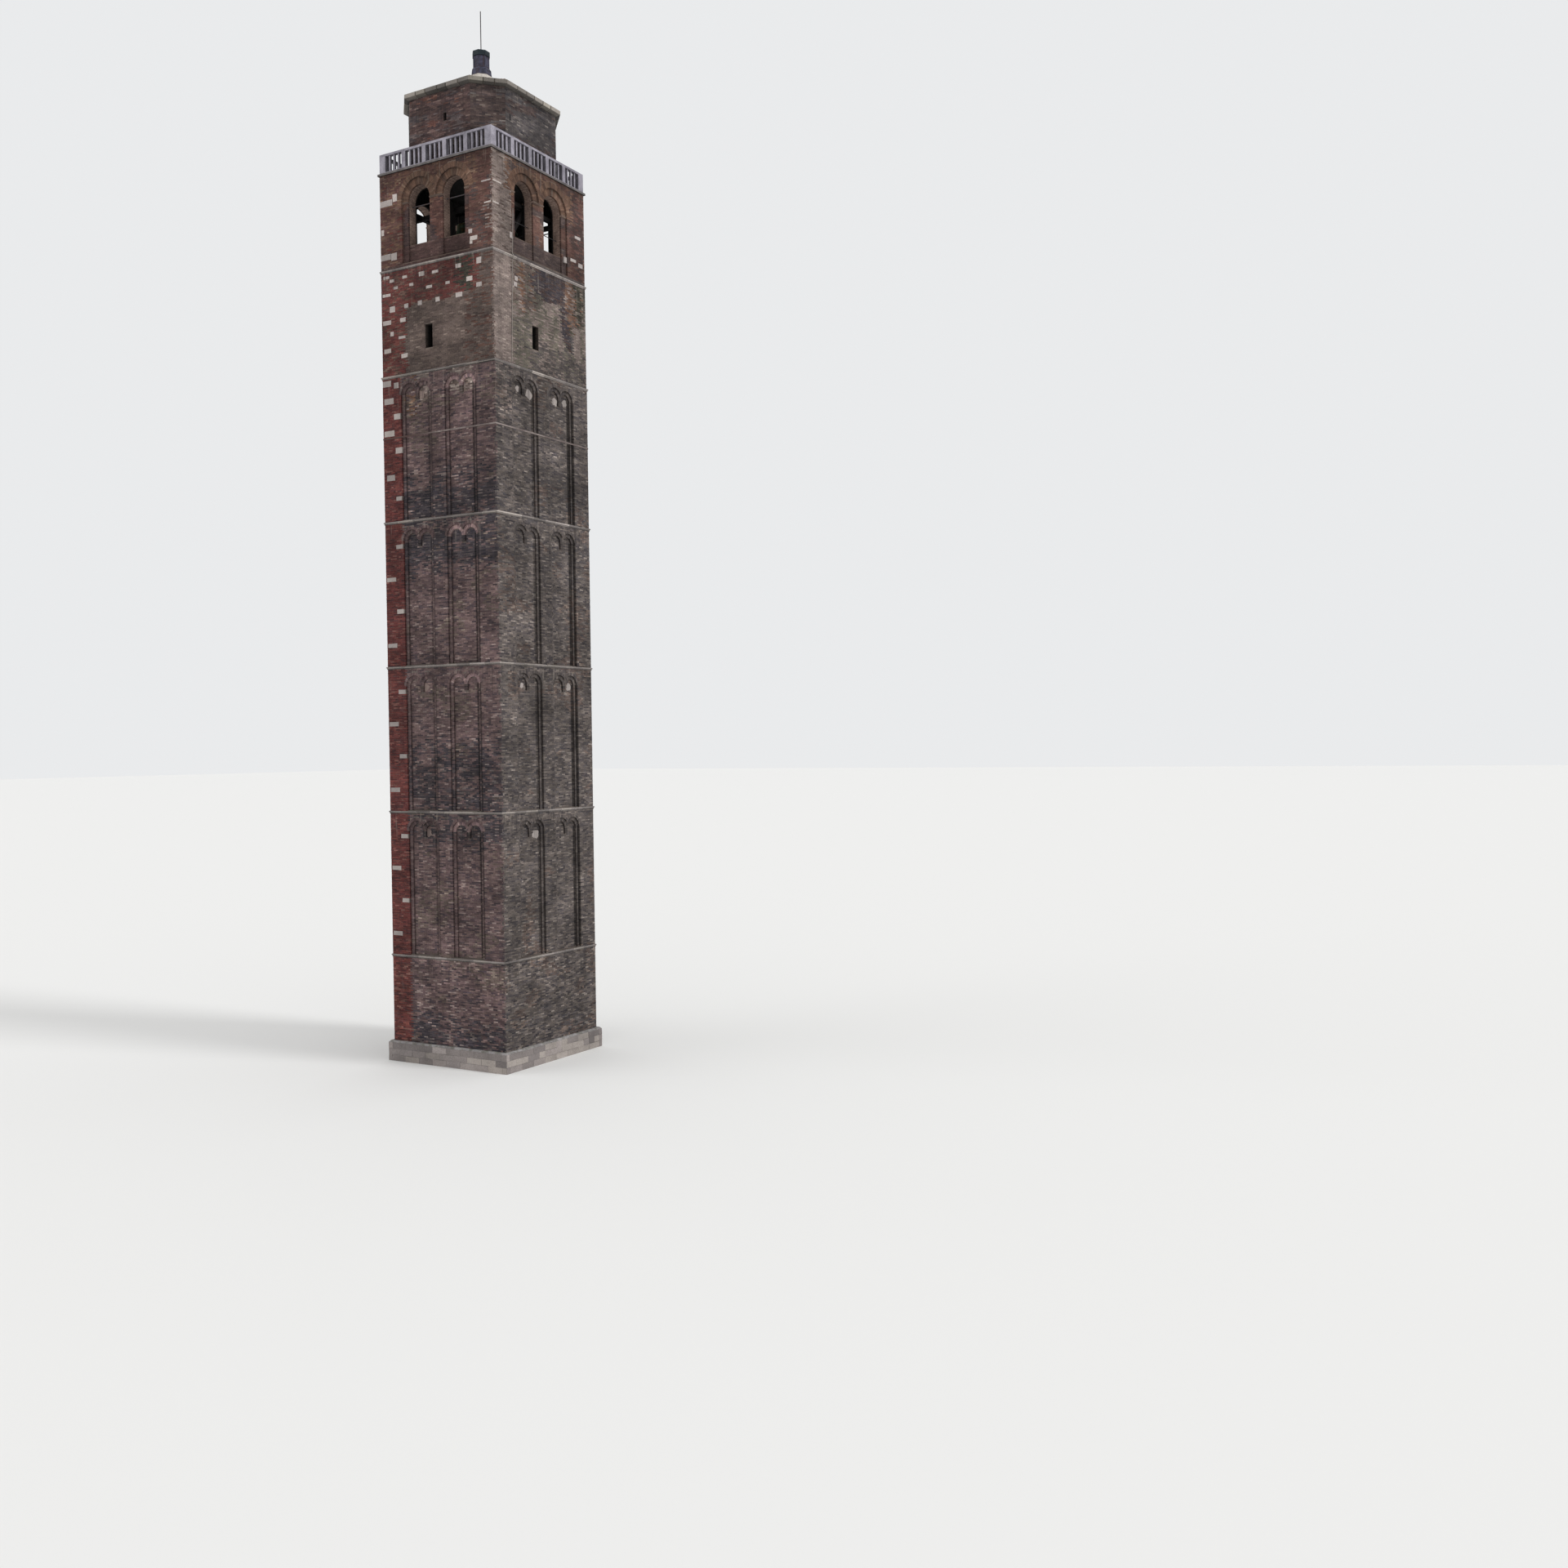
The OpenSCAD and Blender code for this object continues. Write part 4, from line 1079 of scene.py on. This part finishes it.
def drum_skin(turn):
    dist, half = DRUM_FACES[turn % 2]
    shade_top = DECK + (0.52, 0.68)[turn % 2]
    skin = Skin(turn * EIGHTH, 400 + turn)

    def region(z):
        slit = turn % 4 == 0 and DRUM_SLIT[2] < z < DRUM_SLIT[3]
        return minus([(-half, half)], *DRUM_SLIT[:2]) if slit else [(-half, half)]

    quads = bond(region, rows(DECK, CORNICE), skin.rng)
    at = quads.mean(1)
    round_about = at + (turn * (DRUM_LONG + DRUM_SHORT), 0)
    blotch = 0.7 * patchy(*round_about.T, 0.7, 0.2, 81) + 0.3 * skin.rng.random(len(at))
    kinds = np.full(len(at), kind("drum"))
    kinds[blotch > DRUM_WARMTH[turn]] = kind("grey")
    kinds[(blotch < 0.25) & (turn in (0, 7))] = kind("warm")
    tones = paint(kinds, round_about, skin.rng, 0.1, 90, 0.0, (0.5, 0.05), 0.2, 0.8)
    tones *= (1.13, 1.0, 1.01) if turn == 0 else 1.0
    tones[np.abs(at[:, 1] - (CORNICE - 0.22)) < 0.035] *= 1.45
    tones *= 1 - 0.62 * rise(at[:, 1:], shade_top + 0.12, shade_top - 0.06)
    skin.lay(quads, dist, tones)
    skin.build(f"drum_bricks_{turn}", bricks_mat, "brick")


for side in range(4):
    found = []
    plain_skin(side, "1", PLINTH_TOP, BASE_TOP - STRING, TIER_HALF, door_gap if side == 3 else None,
               tier_kinds, "dark_brick", 500, 0.2, pale=0.05)
    for storey in range(4):
        found += [(TIER_HALF, s) for s in tier_skin(side, storey, BASE_TOP + storey * TIER)]
    grain = (0.33, 0.06) if side in RED_SIDES else (0.08, 0.7)
    found += [(MIDDLE_HALF, s) for s in plain_skin(
        side, "6", MIDDLE, BELFRY - STRING, MIDDLE_HALF, slit_gap, middle_kinds, "brick", 520, 0.08,
        grain=grain, calm=0.65)]
    found += [(BELFRY_HALF, s) for s in belfry_skin(side)]
    stone_skin = Skin(side * QUARTER, 600 + side)
    for dist, dim in ((TIER_HALF, 0.86), (MIDDLE_HALF, 1.04), (BELFRY_HALF, 1.06)):
        lay_stones(stone_skin, dist, [s for d, s in found if d == dist], dim)
    stone_skin.build(f"{SIDES[side]}_stones", stones_mat, "pale_stone")
for turn in range(8):
    drum_skin(turn)


# Mouldings, in blocks
def moulding(builder, rng, angle, dist, half, base, profile, shades, mitre, length, gap, spread,
             light=lambda u: 1.0):
    """Blocks of one moulding along a side. profile has (out, up) from its foot to its top, shades the painted
    shade of each face, and the block ends get painted shade. light gives how bright a block is by the place
    of its middle along the side."""
    count = max(1, round(2 * half / length))
    cuts = np.linspace(-half, half, count + 1)
    cuts[1:-1] += rng.uniform(-0.15, 0.15, count - 1) * length
    for i in range(count):
        points = np.array(profile) + (rng.uniform(0, 0.003), 0) + rng.normal(0, 0.0008, (len(profile), 2))
        left = cuts[i] + gap / 2 + 0 * points[:, 0]
        right = cuts[i + 1] - gap / 2 + 0 * points[:, 0]
        if i == 0:
            left = -half - mitre * points[:, 0]
        if i == count - 1:
            right = half + mitre * points[:, 0]
        start = place(angle, left, dist + points[:, 0], base + points[:, 1])
        stop = place(angle, right, dist + points[:, 0], base + points[:, 1])
        tone = stone_tones(1, rng, 1.0, spread)[0] * light((cuts[i] + cuts[i + 1]) / 2)
        for j, shade in enumerate(shades):
            builder.add([start[j], stop[j], stop[j + 1], start[j + 1]], [[0, 1, 2, 3]], tone * shade)
        order = np.arange(len(profile))
        builder.add(start, [order], tone * 0.7)
        builder.add(stop, [order[::-1]], tone * 0.7)


STRING_PROFILE = [(-0.01, -0.062), (0.012, -0.062), (0.012, -0.031), (0.028, -0.027), (0.028, -0.009),
                  (0.018, 0.003), (-0.01, 0.003)]
# Painted shade for each face of a string course's profile, darkest underneath; the right side's upper courses
# get lighter lower faces
STRING_SHADES = (0.3, 0.36, 0.4, 0.82, 0.8, 0.6)
RIGHT_STRING_SHADES = (0.4, 0.62, 0.5, 0.82, 0.8, 0.6)
CORNICE_PROFILE = [(-0.01, -0.003), (0.03, -0.003), (0.05, 0.006), (0.074, 0.018), (0.104, 0.026),
                   (0.118, 0.034), (0.119, 0.12), (0.112, 0.128), (-0.05, 0.13)]
# Painted shade for each face of the cornice's profile, darkest under its overhang
CORNICE_SHADES = np.array((0.18, 0.2, 0.22, 0.25, 0.3, 0.5, 0.66, 0.64))[:, None] * (0.98, 1.0, 0.94)


def string_light(side, top):
    """How bright a string course's blocks are: darker at the front's right end, lighter on the right side."""
    if top == BELFRY:
        return lambda u: 0.85 if side == 0 else 1.08
    if top == MIDDLE and side < 2:
        return lambda u: 0.92 if side else 0.72 - 0.2 * rise(u, 0.9, 1.3)
    return lambda u: 0.72


for side in range(4):
    courses = Builder()
    rng = np.random.default_rng(700 + side)
    for top in STRING_TOPS:
        half = MIDDLE_HALF if top == BELFRY else TIER_HALF
        shades = RIGHT_STRING_SHADES if side == 1 and top >= MIDDLE else STRING_SHADES
        moulding(courses, rng, side * QUARTER, half, half, top, STRING_PROFILE, shades, 1.0, 0.42, JOINT,
                 0.1 if top == BELFRY else 0.2, string_light(side, top))
    courses.build(f"{SIDES[side]}_string_blocks", trim_mat, "pale_stone")
rim = Builder()
rng = np.random.default_rng(710)
for turn in range(8):
    dist, half = DRUM_FACES[turn % 2]
    shades = CORNICE_SHADES * (0.72 if turn == 1 else 1.0)
    moulding(rim, rng, turn * EIGHTH, dist, half, CORNICE, CORNICE_PROFILE, shades, MITRE, 0.3, 0.03, 0.2)
rim.build("cornice_blocks", trim_mat, "pale_stone")


# Plinth and doorway
for side in range(4):
    spans = [(-PLINTH_HALF, PLINTH_HALF)]
    if side == 3:
        spans = minus(spans, -DOOR_HALF, DOOR_HALF)
    blocks = Skin(side * QUARTER, 720 + side)
    quads = bond(lambda z: spans, rows(0.0, PLINTH_BLOCKS, 0.153), blocks.rng, 0.44, 0.1)
    tones = stone_tones(len(quads), blocks.rng, 0.62, 0.12)
    blocks.lay(quads, PLINTH_HALF, tones, (0.006, 0.01), 0.03, 0.003)
    blocks.build(f"{SIDES[side]}_plinth_blocks", stones_mat, "grey_stone")

surround = Skin(3 * QUARTER, 730)
jambs = [[(a, z0), (b, z0), (b, z1), (a, z1)] for z0, z1 in rows(0.155, DOOR_SPRING, 0.2)
         for a, b in ((-DOOR_HALF, -DOOR_IN), (DOOR_IN, DOOR_HALF))]
quads = np.concatenate([ring(0.0, DOOR_SPRING, DOOR_IN, DOOR_HALF, 11), np.array(jambs)])
tones = stone_tones(len(quads), surround.rng, 0.75)
surround.lay(quads, TIER_HALF + 0.06, tones, (0.002, 0.006), 0.02, 0.002)
surround.build("door_blocks", stones_mat, "pale_stone")


# Remains of plaster in the heads of the blind arches
def plaster(builder, rng, angle, dist, u, z, wide, tall, tone):
    """A flat patch with an uneven rim of 14 corners."""
    i = np.arange(14)
    turns = np.linspace(0, 2 * math.pi, 15)[:-1]
    reach = 1 + rng.normal(0, 0.14, 14)
    edge_u = u + wide / 2 * reach * np.cos(turns)
    edge_z = z + tall / 2 * reach * np.sin(turns)
    face = place(angle, edge_u, dist + 0.004, edge_z)
    rear = place(angle, edge_u, dist - 0.01, edge_z)
    tone = linear(*tone) * np.exp(rng.normal(0, 0.1))
    builder.add(face, [i], tone)
    ahead = (i + 1) % 14
    builder.add(np.concatenate([face, rear]), np.stack([i + 14, ahead + 14, ahead, i], 1), tone)


# Each patch on a side of the top tier: u and z of its middle, width and height
PLASTER = {
    0: [(-0.6, 16.36, 0.2, 0.2)],
    1: [(-0.46, 16.31, 0.26, 0.21), (-0.89, 16.37, 0.12, 0.14), (0.55, 16.33, 0.2, 0.2),
        (0.93, 16.37, 0.2, 0.18)],
    2: [(-0.9, 16.35, 0.18, 0.2), (0.5, 16.3, 0.14, 0.2)],
    3: [(0.88, 16.32, 0.18, 0.22), (-0.45, 16.4, 0.2, 0.12)],
}
for side, patches in PLASTER.items():
    rng = np.random.default_rng(740 + side)
    remains = Builder()
    for storey in range(4):
        for u, z, wide, tall in patches:
            if storey == 3 or rng.random() < 0.4:
                plaster(remains, rng, side * QUARTER, TIER_HALF - 2 * BLIND_DEPTH + 0.006, u,
                        z - TIER * (3 - storey), wide, tall, (146, 138, 134) if side else (130, 113, 107))
    remains.build(f"{SIDES[side]}_plaster", trim_mat, "pale_stone")


# Roof tiles
def barrel(builder, foot, head, out, r0, r1, tone, sides=6):
    """A half-round tile from foot to head, with its crown toward out."""
    along = head - foot
    along = along / np.linalg.norm(along)
    across = np.cross(along, out)
    turns = np.linspace(0, math.pi, sides + 1)
    arc = np.cos(turns)[:, None] * across + np.sin(turns)[:, None] * out
    rings = [foot + r0 * arc, head + r1 * arc, foot + (r0 - TILE_THICK) * arc, head + (r1 - TILE_THICK) * arc]
    n = sides + 1
    i = np.arange(sides)
    outer = np.stack([i, i + n, i + n + 1, i + 1], 1)
    inner = np.stack([i + 2 * n, i + 2 * n + 1, i + 3 * n + 1, i + 3 * n], 1)
    rim = np.stack([i, i + 1, i + 2 * n + 1, i + 2 * n], 1)
    builder.add(np.concatenate(rings), np.concatenate([outer, inner, rim]), tone)


TILE_RGB = np.array([linear(*c) for c in (
    (128, 84, 66), (112, 74, 60), (142, 100, 80), (98, 72, 62), (150, 124, 104))])
TILE_SHARES = (0.3, 0.25, 0.2, 0.15, 0.1)
TILE_PITCH = 0.088
TILE_STEP = 0.155
TILE_LENGTH = 0.2
TILE_THICK = 0.006
SLOPE = (ROOF_TOP - ROOF) / ROOF_RUN
LEAN = math.atan(SLOPE)


def roof_half(turn, run):
    """Half the length of a roof face at a level distance in from its eaves."""
    near = DRUM_FACES[turn % 2][0] - ROOF_IN
    other = DRUM_FACES[1 - turn % 2][0] - ROOF_IN
    half = math.sqrt(2) * (other - run) - (near - run)
    return min(half, near - run) if turn % 2 == 0 else half


def lay_tiles():
    tiles = Builder()
    rng = np.random.default_rng(750)
    for turn in range(8):
        angle = turn * EIGHTH
        eaves = DRUM_FACES[turn % 2][0] - ROOF_IN
        flat = place(angle, 0.0, 1.0, 0.0)
        normal = flat * math.sin(LEAN) + np.array([0, 0, math.cos(LEAN)])
        for row in range(9):
            run = row * TILE_STEP * math.cos(LEAN) - 0.03
            reach = run + TILE_LENGTH * math.cos(LEAN)
            half = roof_half(turn, run + 0.08)
            for k in range(-12, 13):
                for cover in (0, 1):
                    u = (k + cover / 2) * TILE_PITCH
                    if abs(u) > half or reach > ROOF_RUN + 0.08:
                        continue
                    drift = rng.normal(0, 0.0025)
                    lift = 0.012 if cover else 0.034
                    ends = [place(angle, u + d, eaves - r, ROOF + SLOPE * r) + normal * (lift + up)
                            for d, r, up in ((drift, run, 0.014), (-drift, reach, 0.0))]
                    tone = TILE_RGB[rng.choice(5, p=TILE_SHARES)] * math.exp(rng.normal(0, 0.13))
                    out = normal if cover else -normal
                    # Pan tiles under the covers are darker: painted shade
                    barrel(tiles, *ends, out, 0.04, 0.034, tone * (1.0 if cover else 0.75))
    tiles.build("roof_tiles", tile_mat, "roof_tile")


def lay_hips():
    hips = Builder()
    rng = np.random.default_rng(751)
    meet = roof_half(1, 0.0) / MITRE
    for turn in range(0, 8, 2):
        angle = turn * EIGHTH
        lines = []
        for way in (-1, 1):
            lines.append([(way * roof_half(0, run), DRUM_HALF - ROOF_IN - run, run) for run in (-0.03, meet)])
        lines.append([(roof_half(0, run), DRUM_HALF - ROOF_IN - run, run) for run in (meet - 0.02, ROOF_RUN)])
        for line in lines:
            low, high = (place(angle, u, dist, ROOF + SLOPE * run) for u, dist, run in line)
            length = np.linalg.norm(high - low)
            along = (high - low) / length
            out = np.array([0, 0, 1.0]) - along * along[2]
            out /= np.linalg.norm(out)
            for i in range(int(length / TILE_STEP) + 1):
                foot = low + along * i * TILE_STEP + out * 0.02
                head = foot + along * min(TILE_LENGTH, length - i * TILE_STEP + 0.02) - out * 0.012
                tone = TILE_RGB[rng.integers(5)] * math.exp(rng.normal(0, 0.12))
                barrel(hips, foot, head, out, 0.058, 0.05, tone)
    hips.build("hip_tiles", tile_mat, "roof_tile")


lay_tiles()
lay_hips()


# Small ironwork, leadwork and fittings
def box(builder, low, high, tone):
    corners = np.array([[(low, high)[i][0], (low, high)[j][1], (low, high)[k][2]]
                        for k in (0, 1) for i, j in ((0, 0), (1, 0), (1, 1), (0, 1))])
    faces = [[3, 2, 1, 0], [4, 5, 6, 7], [0, 1, 5, 4], [1, 2, 6, 5], [2, 3, 7, 6], [3, 0, 4, 7]]
    builder.add(corners, faces, tone)


def hoop(builder, centre, profile, tone, sides=48, turn=0.0):
    """A ring round the upright through centre. profile has (radius, height), anticlockwise."""
    turns = turn + np.arange(sides) * 2 * math.pi / sides
    count = len(profile)
    verts = np.array([[centre[0] + r * math.cos(t), centre[1] + r * math.sin(t), centre[2] + h]
                      for t in turns for r, h in profile])
    faces = [[i * count + j, ahead * count + j, ahead * count + (j + 1) % count, i * count + (j + 1) % count]
             for i, ahead in enumerate([*range(1, sides), 0]) for j in range(count)]
    builder.add(verts, faces, tone)


def cable(builder, points, radius, tone, sides=6):
    """A thin round wire along points."""
    points = np.asarray(points, float)
    verts = []
    for i, point in enumerate(points):
        ahead = points[min(i + 1, len(points) - 1)] - points[max(i - 1, 0)]
        ahead /= np.linalg.norm(ahead)
        first = np.cross(ahead, (0.3, 0.5, 0.8))
        first /= np.linalg.norm(first)
        second = np.cross(ahead, first)
        verts += [point + radius * (math.cos(t) * first + math.sin(t) * second)
                  for t in np.arange(sides) * 2 * math.pi / sides]
    faces = [[i + j, i + (j + 1) % sides, i + sides + (j + 1) % sides, i + sides + j]
             for i in range(0, sides * (len(points) - 1), sides) for j in range(sides)]
    builder.add(verts, faces, tone)


def add_wire():
    """The conductor's wire down the right side, over the string course."""
    wire = Builder()
    path = [(-1.03, BELFRY_HALF + 0.014, 20.6), (-1.07, BELFRY_HALF + 0.014, 19.52),
            (-1.071, MIDDLE_HALF + 0.04, 19.48), (-1.074, MIDDLE_HALF + 0.04, 19.41),
            (-1.076, MIDDLE_HALF + 0.014, 19.38), (-1.16, MIDDLE_HALF + 0.014, 16.93)]
    points = [place(QUARTER, u, dist, z) for u, dist, z in path]
    cable(wire, points, 0.008, linear(148, 140, 134))
    wire.build("conductor_wire", metal_mat, "iron")


def add_bars():
    """Thin guard bars across the openings of the right and left sides, and a wall cramp on the drum."""
    bars = Builder()
    for turn in (1, 3):
        for c in (-OPENING_X, OPENING_X):
            ends = [place(turn * QUARTER, c + way * (OPENING_R + 0.01), BELFRY_HALF - 0.2, BAR_LEVEL)
                    for way in (-1, 1)]
            cable(bars, ends, 0.009, linear(44, 42, 44), 8)
    low = place(QUARTER, -0.81, DRUM_HALF - 0.01, 22.81)
    high = place(QUARTER, -0.78, DRUM_HALF + 0.018, 22.95)
    box(bars, np.minimum(low, high), np.maximum(low, high), linear(40, 38, 40))
    bars.build("guard_bars", metal_mat, "iron")


def add_turret_bands():
    bands = Builder()
    across = math.cos(math.pi / 8)
    tone = linear(60, 52, 62)
    for z, inner, outer, tall in ((TURRET_BODY - 0.012, 0.18, 0.197, 0.024),
                                  (TURRET_SKIRT, 0.236, 0.252, 0.016)):
        profile = [(r / across, h) for r, h in ((inner, 0), (outer, 0), (outer - 0.004, tall), (inner, tall))]
        hoop(bands, (0, 0, z), profile, tone, 8, math.pi / 8)
    for way in range(4):
        c = math.cos(way * QUARTER)
        s = math.sin(way * QUARTER)
        corners = [(-0.33, -0.33), (0.33, -0.33), (0.245, -0.245), (-0.245, -0.245)]
        levels = (ROOF_TOP + 0.012, ROOF_TOP + 0.012, ROOF_TOP + 0.05, ROOF_TOP + 0.05)
        verts = [(x * c - y * s, x * s + y * c, z) for (x, y), z in zip(corners, levels)]
        bands.add(verts, [[0, 1, 2, 3]], linear(92, 90, 94))
    bands.build("turret_flashing", metal_mat, "lead")


def add_bell_fittings():
    """Raised rings on each bell and iron straps round its headstock, riding with the bell."""
    for name, (x, r) in BELLS.items():
        rings = Builder()
        top = AXLE - BELL_DROP
        tall = BELL_TALL * r
        for share, out in BELL_RINGS:
            edge = r * (0.5 + 0.5 * (1 - share) ** 2.4)
            corners = ((-0.006, -0.006), (out, -0.003), (out, 0.003), (-0.006, 0.006))
            profile = [(edge + a, b) for a, b in corners]
            hoop(rings, (x, 0, top - tall + share * tall), profile, linear(86, 100, 84))
        rings.build(f"{name}_bell_rings", bronze_mat, "bronze", f"{name}_bell_body")
        straps = Builder()
        tone = linear(58, 52, 50)
        for at in (-0.13, 0.13, -0.45, 0.45):
            for y0, y1, z0, z1 in ((-0.062, -0.054, -0.067, 0.097), (0.054, 0.062, -0.067, 0.097),
                                   (-0.062, 0.062, 0.089, 0.097), (-0.062, 0.062, -0.067, -0.059)):
                box(straps, (x + at - 0.02, y0, AXLE + z0), (x + at + 0.02, y1, AXLE + z1), tone)
        straps.build(f"{name}_headstock_straps", metal_mat, "iron", f"{name}_bell_body")


add_wire()
add_bars()
add_turret_bands()
add_bell_fittings()


# Floor, light and camera
def add_floor():
    bpy.ops.mesh.primitive_plane_add(size=900.0)
    floor = bpy.context.object
    floor.name = "floor"
    s = Shader("floor_face", 0.95)
    s.bsdf.inputs["Base Color"].default_value = (0.8, 0.8, 0.79, 1)
    floor.data.materials.append(s.material)


def add_sun(name, toward, strength, spread):
    lamp = bpy.data.lights.new(name, "SUN")
    lamp.energy = strength
    lamp.angle = math.radians(spread)
    add_object(name, lamp).rotation_euler = Vector(toward).to_track_quat("Z", "Y").to_euler()


def set_world(ambient, backdrop):
    """White light from all round, and the backdrop for what looks past the tower."""
    world = bpy.data.worlds.new("studio")
    bpy.context.scene.world = world
    world.use_nodes = True
    air = Nodes(world.node_tree)
    light = air.tree.nodes["Background"]
    light.inputs["Color"].default_value = (1, 1, 1, 1)
    light.inputs["Strength"].default_value = ambient
    seen = air.out(0, "ShaderNodeBackground", {"Color": (*backdrop, 1), "Strength": 1.0})
    path = air.add("ShaderNodeLightPath")
    share, *rays = air.wires(path, "Is Camera Ray", "Is Glossy Ray", "Is Transmission Ray")
    for ray in rays:
        share = air.math("MAXIMUM", share, ray)
    mixed = air.out(0, "ShaderNodeMixShader", {0: share, 1: air.wires(light, 0)[0], 2: seen})
    air.tree.links.new(mixed.socket, air.tree.nodes["World Output"].inputs["Surface"])


def add_camera(place_at, yaw, pitch, roll, focal):
    """A camera with this heading from north, in degrees, and its focal length in pixels of 1920."""
    yaw, pitch, roll = (math.radians(v) for v in (yaw, pitch, roll))
    ahead = Vector((-math.sin(yaw) * math.cos(pitch), math.cos(yaw) * math.cos(pitch), math.sin(pitch)))
    right = Vector((math.cos(yaw), math.sin(yaw), 0.0))
    up = right.cross(ahead)
    across = math.cos(roll) * right + math.sin(roll) * up
    over = math.cos(roll) * up - math.sin(roll) * right
    camera = bpy.data.cameras.new("camera")
    camera.sensor_width = 36.0
    camera.lens = 36.0 * focal / 1920
    camera.clip_end = 2000.0
    obj = add_object("camera", camera)
    turn = Matrix((across, over, -ahead)).transposed().to_4x4()
    obj.matrix_world = Matrix.Translation(place_at) @ turn
    bpy.context.scene.camera = obj


add_floor()
add_sun("key", (0.75, 0.1, 0.65), 1.1, 12.0)
add_sun("fill", (-0.55, -0.5, 0.6), 0.25, 40.0)
set_world(0.8, (0.82, 0.83, 0.84))
add_camera((24.5017, -28.5821, 7.6654), 29.336, -1.4274, -0.6693, 1787.216)
bpy.context.scene.view_settings.view_transform = "Standard"
